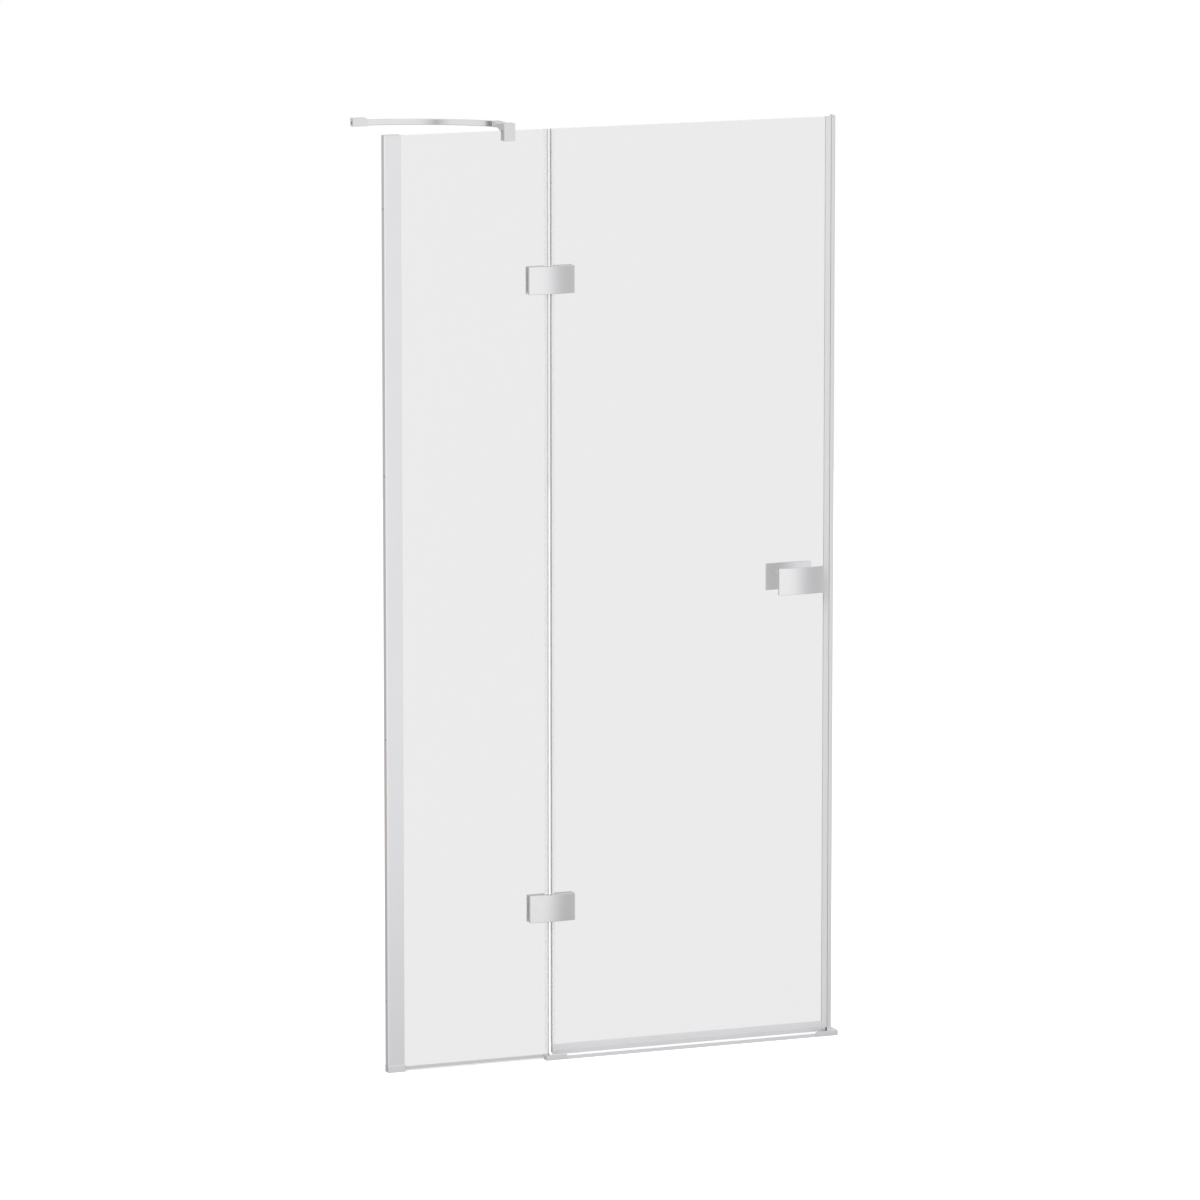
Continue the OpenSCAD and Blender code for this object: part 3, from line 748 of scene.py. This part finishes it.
def drip_seal(sizes):
    """A channel on the door's foot with a lip that sheds water."""
    low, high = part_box("drip_seal")
    pane_low, pane_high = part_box("door_glass")
    out = high.y
    lip = out - 0.4 * MM
    slot = pane_high.y + SEAL_PLAY
    step = low.z + 7.3 * MM
    floor = low.z + 3.4 * MM
    back = high.z - sizes.back_lip
    outline = [
        (-out, high.z), (-out, step), (-lip, step - 0.3 * MM),
        (-lip, low.z + 0.6 * MM), (0.8 * MM - lip, low.z),
        (1.6 * MM - lip, low.z + 1.0 * MM), (2.4 * MM - lip, floor),
        (out - 1.0 * MM, floor), (out, floor + 1.0 * MM), (out, back),
        (slot, back), (slot, pane_low.z), (-slot, pane_low.z),
        (-slot, high.z)]
    seal = prism("drip_channel", outline, "X", low.x, high.x)
    soften(seal, 0.22 * MM, 2, 30)
    dress(seal, "door", "grey_seal", ["drip_seal"], "foot_seal")


def magnetic_seal(sizes):
    """A channel on the closing edge with a chamber for the magnet."""
    low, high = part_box("magnetic_seal")
    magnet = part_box("door_magnet")
    pane_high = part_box("door_glass")[1]
    half = high.y
    slot = pane_high.y + SEAL_PLAY
    floor = pane_high.x + SEAL_PLAY
    back = low.x + sizes.back_lip
    outline = [
        (back, half), (back, slot), (floor, slot), (floor, -slot),
        (low.x, -slot), (low.x, -half), (low.x + 0.5 * MM, -half),
        (high.x - 0.15 * MM, -half), (high.x, 0.15 * MM - half),
        (high.x, half - 0.5 * MM), (high.x - 0.5 * MM, half)]
    seal = prism("magnetic_channel", outline, "Z", low.z, high.z)
    cut(seal, block(
        "chamber", (magnet[0].x - 0.05 * MM, magnet[0].y - 0.1 * MM, -1),
        (magnet[1].x + 0.1 * MM, magnet[1].y + 0.1 * MM, 3)))
    soften(seal, 0.1 * MM, 2)
    dress(seal, "door", "grey_seal", ["magnetic_seal"])


class SHOWER_OT_seals(bpy.types.Operator):
    """Sill seal, drip seal and magnetic seal"""

    bl_idname = "shower.seals"
    bl_label = "Seals"

    def execute(self, context):
        sizes = context.scene.door_sizes
        sill_seal(sizes)
        drip_seal(sizes)
        magnetic_seal(sizes)
        refinish(["door_magnet"], "magnet_strip")
        # The strike's magnet takes the liner's lighter grey in place of a magnet's dark one:
        # painted light that lifts the shade on it at the strike's foot
        refinish(["strike_magnet"], "soft_liner")
        return {"FINISHED"}


# Strike profile


def strike_holes(inside, outside, y):
    """The tools that drill the flange on the right wall."""
    top = span("fixed_glass", "z")[1]
    end = 150 * MM
    count = 4
    return [
        rod("hole", (0, y, end + k * (top - 2 * end) / (count - 1)),
            2.75 * MM, inside, outside, "X", 32) for k in range(count)]


def strike_profile():
    """A nose that holds a magnet, and a flange on the right wall."""
    low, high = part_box("strike_profile")
    left = low.x - 0.15 * MM
    right = low.x + 8.4 * MM
    front = low.y
    back = 17 * MM
    plate = 2.5 * MM
    half = 4 * MM
    keep = half + 1 * MM
    notch = (left + 2 * MM, left + 4 * MM)
    deep = right - 2 * MM
    wall = high.x
    outline = [
        (notch[1], -half), (notch[1], -keep), (notch[0], -keep),
        (notch[0], -half), (left, -half), (left, front + 0.2 * MM),
        (left + 0.2 * MM, front), (right - 1.6 * MM, front),
        (right, front + 1.6 * MM), (right, back - plate),
        (wall, back - plate), (wall, high.y), (wall - plate, high.y),
        (wall - plate, back), (right - plate, back), (right - plate, -front),
        (left, -front), (left, half), (notch[0], half), (notch[0], keep),
        (notch[1], keep), (notch[1], half), (deep, half), (deep, -half)]
    strike = prism("strike_shell", outline, "Z", low.z, high.z)
    cut(strike, *strike_holes(
        wall - 2 * plate, wall + plate, back + 10 * MM))
    soften(strike, 0.25 * MM, 2)
    dress(strike, "frame", "bright_aluminium", ["strike_profile"])
    # The pocket's inner faces take the liner's grey in place of the metal: painted light that
    # lifts the shade in the pocket
    refinish_faces(
        strike, "soft_liner",
        lambda face: left + 0.5 * MM < face.center.x < deep + 0.1 * MM
        and abs(face.center.y) < keep + 0.1 * MM
        and abs(face.normal.z) < 0.5)


class SHOWER_OT_strike(bpy.types.Operator):
    """Strike profile on the right wall"""

    bl_idname = "shower.strike"
    bl_label = "Strike profile"

    def execute(self, context):
        strike_profile()
        return {"FINISHED"}


# Threshold


def threshold_rail():
    """A low rail with a sloped front, thinned where the caps overlap it."""
    low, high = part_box("threshold_rail")
    front = span("threshold_cap_left", "y")[0]
    outline = [
        (front, low.z), (high.y, low.z), (high.y, high.z - 0.6 * MM),
        (high.y - 0.6 * MM, high.z), (front + 4.5 * MM, high.z),
        (front + 1.6 * MM, high.z - 1.2 * MM), (front, high.z - 3.6 * MM)]
    rail = prism("rail_body", outline, "X", low.x, high.x)
    inside = front + 2.5 * MM
    play = 0.2 * MM
    left_end = span("threshold_cap_left", "x")[1] + play
    right_end = span("threshold_cap_right", "x")[0] - play
    cut(rail,
        block("left", (low.x - PAST, front - PAST, -PAST),
              (left_end, inside, 0.02)),
        block("right", (right_end, front - PAST, -PAST),
              (high.x + PAST, inside, 0.02)))
    soften(rail, 0.3 * MM, 2, 20)
    dress(rail, "frame", "bright_aluminium", ["threshold_rail"],
          "rail_metal")


def end_cap(side, leg, sizes):
    """An L-shaped cap around an end of the rail."""
    node = "threshold_cap_" + side
    low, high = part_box(node)
    outer, inner = (low.x, high.x) if side == "left" else (high.x, low.x)
    wall = low.y + 2.3 * MM
    outline = [
        (outer, low.y), (inner, low.y), (inner, wall), (leg, wall),
        (leg, high.y), (outer, high.y)]
    cap = prism(f"cap_{side}_body", outline, "Z", low.z, high.z)
    soften(cap, sizes.cap_edge)
    dress(cap, "frame", "satin_cap", [node])


class SHOWER_OT_threshold(bpy.types.Operator):
    """Threshold rail with its two end caps"""

    bl_idname = "shower.threshold"
    bl_label = "Threshold"

    def execute(self, context):
        sizes = context.scene.door_sizes
        left_leg = span("threshold_cap_left", "x")[0] + 12 * MM
        right_leg = span("magnetic_seal", "x")[0] + 1.3 * MM
        threshold_rail()
        end_cap("left", left_leg, sizes)
        end_cap("right", right_leg, sizes)
        return {"FINISHED"}


# Brace


def brace_clamp(pivot, sizes):
    """A jaw over the pane's top edge, with an arm that holds the brace."""
    low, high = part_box("stabiliser_clamp")
    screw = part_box("clamp_screw")
    mouth = span("clamp_liners", "y")[1]
    glass_top = span("fixed_glass", "z")[1]
    roof = glass_top + 1 * MM
    back = screw[1].y + 0.4 * MM
    root = back - 1 * MM
    jaw = prism("clamp_body", [
        (low.y, low.z), (-mouth, low.z), (-mouth, roof), (mouth, roof),
        (mouth, low.z), (back, low.z), (back, high.z), (low.y, high.z)],
        "X", low.x, high.x)
    inset = 2 * MM
    arm_low = glass_top + 3 * MM
    arm_high = glass_top + 12.5 * MM
    fillet = 61.4 * MM
    tip = 43 * MM
    start = math.degrees(math.acos((root - tip) / fillet))
    outline = arc(tip, arm_low - fillet, fillet, start, 90, 24) + [
        (pivot.y, arm_low), (pivot.y, arm_high), (root, arm_high)]
    arm = prism("arm", outline, "X", low.x + inset, high.x - inset)
    place = (pivot.x, pivot.y, 0)
    radius = high.x - inset - pivot.x
    join(jaw, arm, rod("eye", place, radius, arm_low, arm_high, "Z", 64))
    screw_mid = (screw[0] + screw[1]) / 2
    cut(jaw,
        rod("seat", place, radius + 0.4 * MM, (arm_low + arm_high) / 2,
            arm_high + PAST, "Z", 64),
        rod("hole", place, 2.5 * MM, arm_low - PAST, arm_high, "Z"),
        rod("grub", (screw_mid.x, 0, screw_mid.z), 3 * MM, 0, back + PAST,
            "Y"))
    soften(jaw, sizes.clamp_edge)
    dress(jaw, "frame", "chrome", ["stabiliser_clamp"])


def brace_bar(pivot, sizes):
    """A flat strip bent to an arc, with an eye at the clamp."""
    low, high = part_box("stabiliser_bar")
    radius = sizes.bar_radius
    half = sizes.bar_thick / 2
    eye = 9.5 * MM
    bottom = high.z - BAR_HEIGHT
    turn = math.asin(pivot.x / radius)
    cy = pivot.y - radius * math.cos(turn)
    first = math.asin(low.x / radius)
    last = turn - math.asin((eye - 3 * MM) / radius)
    edge = 0.6 * MM
    section = [
        (-half, bottom + edge), (edge - half, bottom),
        (half - edge, bottom), (half, bottom + edge),
        (half, high.z - edge), (half - edge, high.z),
        (edge - half, high.z), (-half, high.z - edge)]
    steps = 72
    angles = [first + (last - first) * k / steps for k in range(steps + 1)]
    bar = skin("brace_bar", [
        [((radius + out) * math.sin(a), cy + (radius + out) * math.cos(a), z)
         for out, z in section]
        for a in angles])
    place = (pivot.x, pivot.y, 0)
    ring = turned("eye", [
        (eye - 0.5 * MM, low.z), (eye, low.z + 0.5 * MM),
        (eye, high.z - 0.6 * MM), (eye - 0.6 * MM, high.z)], place, "Z")
    cut(bar, rod("under", place, eye + 0.8 * MM, bottom - PAST, low.z, "Z",
                 64))
    join(bar, ring)
    cut(bar,
        rod("hole", place, 2.6 * MM, low.z - PAST, high.z + PAST, "Z"),
        rod("seat", place, 4.8 * MM, high.z - 2.5 * MM, high.z + PAST, "Z"))
    soften(bar, 0.2 * MM, 2, 45)
    dress(bar, "frame", "chrome", ["stabiliser_bar"])


def brace_socket(sizes):
    """A square socket on the left wall with a chamfered mouth."""
    low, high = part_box("bar_socket")
    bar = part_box("stabiliser_bar")[1]
    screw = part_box("socket_screw")
    slope = 3.2 * MM
    outline = [
        (low.x, low.z), (high.x, low.z), (high.x, high.z - slope),
        (high.x - slope, high.z), (low.x, high.z)]
    socket = prism("socket_body", outline, "Y", low.y, high.y)
    play = 0.2 * MM
    sag = 1.4 * MM
    half = sizes.bar_thick / 2
    middle = bar.y - half
    centre = (screw[0] + screw[1]) / 2
    cut(socket,
        block("cavity", (5.5 * MM, middle - half - sag - play,
                         bar.z - BAR_HEIGHT - play),
              (high.x + PAST, middle + half + play, bar.z + play)),
        rod("wall_hole", (0, middle, centre.z), 2.5 * MM, -PAST, 7 * MM, "X",
            32),
        rod("grub", (centre.x, 0, centre.z), 2 * MM, middle, high.y + PAST,
            "Y", 32))
    soften(socket, sizes.socket_edge)
    dress(socket, "frame", "chrome", ["bar_socket"], "pale_chrome")


class SHOWER_OT_brace(bpy.types.Operator):
    """Curved brace with its glass clamp and wall socket"""

    bl_idname = "shower.brace"
    bl_label = "Brace"

    def execute(self, context):
        sizes = context.scene.door_sizes
        low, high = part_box("pivot_screw")
        pivot = (low + high) / 2
        brace_clamp(pivot, sizes)
        brace_bar(pivot, sizes)
        brace_socket(sizes)
        refinish(["clamp_liners"], "soft_liner")
        return {"FINISHED"}


# Hinges


def hinge_cover(height, sizes):
    """An arched shell in front of a hinge, with a screw from below."""
    node = height + "_cover"
    low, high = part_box(node)
    leaf = span(height + "_fixed_leaf", "z")
    middle = (low.x + high.x) / 2
    radius, sweep = bow((high.x - low.x) / 2, sizes.cover_bulge)
    outline = arc(middle, low.y + radius, radius, 270 - sweep, 270 + sweep,
                  40) + [(high.x, high.y), (low.x, high.y)]
    cover = prism(node + "_shell", outline, "Z", low.z, high.z)
    wall = sizes.cover_wall
    inner = (leaf[1] - leaf[0]) / 2 + 0.5 * MM
    mid_z = (low.z + high.z) / 2
    cut(cover,
        block("cavity", (low.x + wall, -12 * MM, mid_z - inner),
              (high.x - wall, PAST, mid_z + inner)),
        rod("hole", (HINGE_AXIS - 30 * MM, -8 * MM, 0), 1.6 * MM,
            low.z - PAST, mid_z, "Z", 32))
    soften(cover, sizes.cover_edge, 4)
    dress(cover, "frame", "chrome", [node], mirrored=False)


def hinge_plate(node, body, side, sizes):
    """An inner plate with two countersunk screw holes."""
    low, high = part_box(node)
    plate = block(node + "_plate", low, high)
    middle = (low.z + high.z) / 2
    radius = 2.6 * MM
    head = 4.95 * MM
    profile = [(radius, low.y - PAST), (radius, high.y - head + radius),
               (head, high.y), (head, high.y + PAST)]
    x = HINGE_AXIS + side * 17 * MM
    cut(plate, *(turned("screw", profile, (x, 0, middle + k * 16 * MM), "Y",
                        40) for k in (-1, 1)))
    soften(plate, sizes.plate_edge, 3, 60)
    dress(plate, body, "chrome", [node])


class SHOWER_OT_hinge_covers(bpy.types.Operator):
    """Arched covers in front of both hinges"""

    bl_idname = "shower.hinge_covers"
    bl_label = "Hinge covers"

    def execute(self, context):
        for height in HINGES:
            hinge_cover(height, context.scene.door_sizes)
        return {"FINISHED"}


class SHOWER_OT_hinge_plates(bpy.types.Operator):
    """The four inner plates of the hinges"""

    bl_idname = "shower.hinge_plates"
    bl_label = "Hinge plates"

    def execute(self, context):
        sizes = context.scene.door_sizes
        for height in HINGES:
            hinge_plate(height + "_fixed_back", "frame", -1, sizes)
            hinge_plate(height + "_door_back", "door", 1, sizes)
        return {"FINISHED"}


class SHOWER_OT_hinge_insides(bpy.types.Operator):
    """Finishes of leaves, liners, pins and bushes"""

    bl_idname = "shower.hinge_insides"
    bl_label = "Hinge insides"

    def execute(self, context):
        for height in HINGES:
            refinish([height + "_fixed_leaf", height + "_door_leaf"],
                     "plated_leaf")
            refinish([height + "_fixed_liners", height + "_door_liners"],
                     "soft_liner")
            refinish([height + "_pin"], "steel")
            refinish([height + "_bush"], "nylon")
        return {"FINISHED"}


# Handle


def handle_plate(node, side, finish, sizes):
    """A plate bent to an arc, thinner than it is high."""
    low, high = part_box(node)
    middle = (low.x + high.x) / 2
    half = (high.x - low.x) / 2
    top = max(abs(low.y), abs(high.y))
    radius, sweep = bow(half, sizes.handle_bulge)
    cy = top - radius
    inner = radius - sizes.handle_thick
    inner_sweep = math.degrees(math.asin(half / inner))
    outline = (
        arc(middle, cy, radius, 90 + sweep, 90 - sweep, 40)
        + arc(middle, cy, inner, 90 - inner_sweep, 90 + inner_sweep, 40))
    plate = prism(node + "_plate", [(x, side * y) for x, y in outline], "Z",
                  low.z, high.z)
    soften(plate, sizes.handle_edge, 4)
    dress(plate, "door", "chrome", [node], finish, mirrored=False)


def handle_post(node, side, sizes):
    """A turned post with a flange under the plate."""
    low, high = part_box(node)
    centre = (low + high) / 2
    near = min(abs(low.y), abs(high.y))
    far = max(abs(low.y), abs(high.y))
    radius = sizes.post_radius
    flange = (high.x - low.x) / 2
    bore = 4.0 * MM
    profile = [
        (bore, near), (radius - 0.6 * MM, near),
        (radius - 0.2 * MM, near + 0.2 * MM), (radius, near + 0.6 * MM),
        (radius, far - 3.2 * MM), (radius + 0.3 * MM, far - 2.5 * MM),
        (radius + 1.0 * MM, far - 2.0 * MM),
        (flange - 0.5 * MM, far - 2.0 * MM),
        (flange, far - 1.5 * MM), (flange, far - 0.4 * MM),
        (flange - 0.4 * MM, far), (bore, far)]
    post = turned(node + "_turned", [(r, side * h) for r, h in profile],
                  (centre.x, 0, centre.z), "Y", 72)
    smooth(post, 50)
    dress(post, "door", "chrome", [node], mirrored=False)


def handle_stud():
    """A threaded rod with plain ends."""
    low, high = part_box("handle_stud")
    centre = (low + high) / 2
    radius = (high.x - low.x) / 2
    root = radius - 0.5 * MM
    pitch = 1.25 * MM
    turns = int((high.y - low.y) / pitch) - 1
    first = centre.y - turns * pitch / 2
    profile = [(root, low.y)]
    for turn in range(turns):
        at = first + turn * pitch
        profile += [(root, at), (radius, at + pitch / 2)]
    profile += [(root, first + turns * pitch), (root, high.y)]
    stud = turned("handle_stud_thread", profile, (centre.x, 0, centre.z),
                  "Y", 40)
    smooth(stud, 50)
    dress(stud, "door", "steel", ["handle_stud"], mirrored=False)


def ring_on_stud(name, node, start, end):
    """A flat ring around the stud, as wide as a node."""
    low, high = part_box(node)
    centre = (low + high) / 2
    place = (centre.x, 0, centre.z)
    bore = span("handle_stud", "x")
    hole = (bore[1] - bore[0]) / 2 + 0.05 * MM
    ring = rod(name, place, (high.x - low.x) / 2, start, end, "Y", 64)
    cut(ring, rod("hole", place, hole, start - PAST, end + PAST, "Y"))
    return ring


def handle_sleeve():
    """The sleeve in the glass hole."""
    sleeve = ring_on_stud("handle_sleeve_ring", "handle_sleeve",
                          *span("handle_sleeve", "y"))
    soften(sleeve, 0.25 * MM, 2)
    dress(sleeve, "door", "nylon", ["handle_sleeve"], mirrored=False)


def handle_washers():
    """Thin rings between the posts and the glass."""
    front, back = span("handle_washers", "y")
    glass = span("door_glass", "y")[1]
    rings, other = (
        ring_on_stud("handle_washer_rings", "handle_washers", start, end)
        for start, end in ((front, -glass), (glass, back)))
    join(rings, other)
    soften(rings, FINE_EDGE, 2)
    dress(rings, "door", "soft_liner", ["handle_washers"], mirrored=False)


class SHOWER_OT_handle(bpy.types.Operator):
    """Arched handle plates with their posts, stud, sleeve and washers"""

    bl_idname = "shower.handle"
    bl_label = "Handle"

    def execute(self, context):
        sizes = context.scene.door_sizes
        handle_plate("handle_front", -1, "chrome", sizes)
        # The back plate takes the paler chrome: painted light that brightens it behind the pane
        handle_plate("handle_back", 1, "pale_chrome", sizes)
        handle_post("post_front", -1, sizes)
        handle_post("post_back", 1, sizes)
        handle_stud()
        handle_sleeve()
        handle_washers()
        return {"FINISHED"}


class SHOWER_OT_fasteners(bpy.types.Operator):
    """Finishes of all screws"""

    bl_idname = "shower.fasteners"
    bl_label = "Fasteners"

    def execute(self, context):
        refinish(["profile_screws", "clamp_screw", "pivot_screw",
                  "socket_screw", "fixed_leaf_screws", "door_leaf_screws",
                  "cover_screws"], "steel")
        return {"FINISHED"}


# Studio

# What polished metal sees around it, as (degrees from the front, colour)
SWEEP = (
    (-180, (0.57, 0.54, 0.53)),
    (-159, (0.55, 0.515, 0.51)),
    (-120, (0.64, 0.63, 0.63)),
    (-85, (0.80, 0.80, 0.805)),
    (-66, (0.89, 0.89, 0.895)),
    (-52, (0.90, 0.90, 0.90)),
    (-45, (0.87, 0.865, 0.865)),
    (-40, (0.72, 0.705, 0.705)),
    (-36, (0.565, 0.55, 0.55)),
    (-32, (0.74, 0.725, 0.725)),
    (-25, (0.90, 0.90, 0.90)),
    (4, (0.93, 0.93, 0.94)),
    (12, (0.93, 0.93, 0.94)),
    (17, (0.87, 0.87, 0.88)),
    (23, (0.72, 0.72, 0.73)),
    (26, (0.65, 0.65, 0.66)),
    (30, (0.59, 0.59, 0.60)),
    (34, (0.575, 0.57, 0.575)),
    (38, (0.59, 0.585, 0.59)),
    (44, (0.63, 0.625, 0.63)),
    (52, (0.68, 0.675, 0.68)),
    (72, (0.70, 0.69, 0.70)),
    (100, (0.60, 0.59, 0.60)),
    (120, (0.58, 0.57, 0.58)),
    (159, (0.70, 0.69, 0.69)),
    (180, (0.57, 0.54, 0.53)),
)
# The same by height, as (sine of the height angle, share)
RISE = (
    (-1.0, 0.35),
    (-0.30, 0.57),
    (-0.238, 0.745),
    (-0.222, 0.81),
    (-0.208, 0.95),
    (-0.200, 0.985),
    (-0.18, 1.0),
    (0.3, 1.0),
    (1.0, 1.12),
)
# Where the camera stands, and how far it looks down and to the right
CAMERA_PLACE = (-5.5003, -15.3013, 3.8088)
CAMERA_TILT = 9.827
CAMERA_TURN = 21.329
# The lamp's place, seen from the middle of the door
LAMP_PLACE = Vector((-2.6, -4.2, 3.4))


def ramp(tree, value, stops):
    """The colour that a value picks from a row of stops."""
    node = add_node(tree, "ShaderNodeValToRGB", {"Fac": value})
    elements = node.color_ramp.elements
    for k, (place, tone) in enumerate(stops):
        if k < 2:
            stop = elements[k]
            stop.position = place
        else:
            stop = elements.new(place)
        stop.color = (*tone, 1)
    return node.outputs["Color"]


def background(tree, colour, strength=1.0):
    return add_node(tree, "ShaderNodeBackground", {
        "Color": colour, "Strength": strength}).outputs["Background"]


def seen_by_eye(tree, path):
    """1 for a ray of the camera, also one that has passed through glass."""
    return calculate(tree, "MAXIMUM", path["Is Camera Ray"],
                     path["Is Transmission Ray"])


def metal_sky(tree):
    """The shades around and above the door that polished metal shows."""
    place = tree.nodes.new("ShaderNodeTexCoord").outputs["Generated"]
    split = add_node(
        tree, "ShaderNodeSeparateXYZ", {"Vector": place}).outputs
    front = calculate(tree, "MULTIPLY", split["Y"], -1)
    around = add_node(tree, "ShaderNodeMapRange", {
        "From Min": -math.pi, "From Max": math.pi,
        "Value": calculate(tree, "ARCTAN2", split["X"], front)})
    height = add_node(tree, "ShaderNodeMapRange", {
        "From Min": -1, "Value": split["Z"]})
    sweep = ramp(tree, around.outputs["Result"],
                 [((angle + 180) / 360, tone) for angle, tone in SWEEP])
    rise = ramp(tree, height.outputs["Result"],
                [((z + 1) / 2, (share,) * 3) for z, share in RISE])
    return add_node(tree, "ShaderNodeMix", {
        "Factor": 1, "A": sweep, "B": rise}, data_type="RGBA",
        blend_type="MULTIPLY").outputs["Result"]


def soft_world(studio):
    """White to the eye, even light, and a shaded sky for metal."""
    world = bpy.data.worlds.new("soft_studio")
    world.use_nodes = True
    bpy.context.scene.world = world
    tree = world.node_tree
    tree.nodes.clear()
    path = tree.nodes.new("ShaderNodeLightPath").outputs
    lit = mix_shaders(tree, path["Is Glossy Ray"],
                      background(tree, WHITE, studio.soft_light),
                      background(tree, metal_sky(tree)))
    shown = mix_shaders(tree, seen_by_eye(tree, path), lit,
                        background(tree, WHITE))
    add_node(tree, "ShaderNodeOutputWorld", {"Surface": shown})


def studio_floor(studio):
    """A pale floor: white to the eye apart from the door's shadow."""
    half = studio.floor_size / 2
    middle = (cad_box[0] + cad_box[1]) / 2
    shape = bmesh.new()
    corners = [(-half, -half), (half, -half), (half, half), (-half, half)]
    shape.faces.new([
        shape.verts.new((middle.x + x, middle.y + y, cad_box[0].z))
        for x, y in corners])
    floor = make_piece("studio_floor", shape)
    finish, tree, shader = begin("floor_paint")
    tree.nodes.remove(shader)
    dull = add_node(tree, "ShaderNodeBsdfDiffuse", {
        "Color": (0.8, 0.8, 0.8, 1)}).outputs["BSDF"]
    glow = add_node(tree, "ShaderNodeEmission", {
        "Strength": 0.5}).outputs["Emission"]
    bright = add_node(
        tree, "ShaderNodeAddShader", {0: dull, 1: glow}).outputs["Shader"]
    path = tree.nodes.new("ShaderNodeLightPath").outputs
    seen = mix_shaders(tree, seen_by_eye(tree, path), dull, bright)
    coat(tree, mix_shaders(tree, path["Is Glossy Ray"], seen,
                           see_through(tree, WHITE)))
    floor.data.materials.append(finish)


def front_lamp(studio):
    """One large soft lamp in front, up and to the left."""
    lamp = bpy.data.lights.new("front_lamp", "AREA")
    lamp.shape = "DISK"
    lamp.size = 4.0
    lamp.energy = studio.key_power
    holder = bpy.data.objects.new("front_lamp", lamp)
    bpy.context.scene.collection.objects.link(holder)
    target = (cad_box[0] + cad_box[1]) / 2
    holder.location = target + LAMP_PLACE
    aim = target - holder.location
    holder.rotation_euler = aim.to_track_quat("-Z", "Y").to_euler()
    holder.visible_glossy = False


def photo_camera(studio):
    """The photograph's side and height, with a longer lens."""
    camera = bpy.data.cameras.new("photo_camera")
    camera.lens = studio.lens
    camera.sensor_width = 36.0
    camera.clip_end = 100
    holder = bpy.data.objects.new("photo_camera", camera)
    bpy.context.scene.collection.objects.link(holder)
    holder.location = CAMERA_PLACE
    holder.rotation_euler = (
        math.radians(90 - CAMERA_TILT), 0, math.radians(-CAMERA_TURN))
    bpy.context.scene.camera = holder


class SHOWER_OT_studio(bpy.types.Operator):
    """Floor, soft light and camera"""

    bl_idname = "shower.studio"
    bl_label = "Studio"

    def execute(self, context):
        studio = context.scene.door_studio
        soft_world(studio)
        studio_floor(studio)
        front_lamp(studio)
        photo_camera(studio)
        context.scene.view_settings.view_transform = "Standard"
        return {"FINISHED"}


# Registration

OPERATORS = (
    SHOWER_OT_wall_profile,
    SHOWER_OT_panes,
    SHOWER_OT_edge_strips,
    SHOWER_OT_seals,
    SHOWER_OT_strike,
    SHOWER_OT_threshold,
    SHOWER_OT_brace,
    SHOWER_OT_hinge_covers,
    SHOWER_OT_hinge_plates,
    SHOWER_OT_hinge_insides,
    SHOWER_OT_handle,
    SHOWER_OT_fasteners,
    SHOWER_OT_studio,
)
GROUPS = (
    ("door_sizes", DoorSizes),
    ("door_finishes", DoorFinishes),
    ("door_studio", DoorStudio),
)


class SHOWER_PT_panel(bpy.types.Panel):
    """Lists the steps that build the shower door"""

    bl_label = "Shower Door"
    bl_idname = "SHOWER_PT_panel"
    bl_space_type = "VIEW_3D"
    bl_region_type = "UI"
    bl_category = "Shower Door"

    def draw(self, context):
        for operator in OPERATORS:
            self.layout.operator(operator.bl_idname)
        for group, _ in GROUPS:
            settings = getattr(context.scene, group)
            box = self.layout.box()
            for name in settings.bl_rna.properties.keys():
                if name not in ("rna_type", "name"):
                    box.prop(settings, name)


def register():
    for name, group in GROUPS:
        bpy.utils.register_class(group)
        setattr(bpy.types.Scene, name, bpy.props.PointerProperty(type=group))
    for operator in OPERATORS:
        bpy.utils.register_class(operator)
    bpy.utils.register_class(SHOWER_PT_panel)


def unregister():
    bpy.utils.unregister_class(SHOWER_PT_panel)
    for operator in reversed(OPERATORS):
        bpy.utils.unregister_class(operator)
    for name, group in reversed(GROUPS):
        delattr(bpy.types.Scene, name)
        bpy.utils.unregister_class(group)


def main():
    """Builds the whole door."""
    register()
    bpy.ops.shower.wall_profile()
    bpy.ops.shower.panes()
    bpy.ops.shower.edge_strips()
    bpy.ops.shower.seals()
    bpy.ops.shower.strike()
    bpy.ops.shower.threshold()
    bpy.ops.shower.brace()
    bpy.ops.shower.hinge_covers()
    bpy.ops.shower.hinge_plates()
    bpy.ops.shower.hinge_insides()
    bpy.ops.shower.handle()
    bpy.ops.shower.fasteners()
    bpy.ops.shower.studio()


if __name__ == "__main__":
    main()
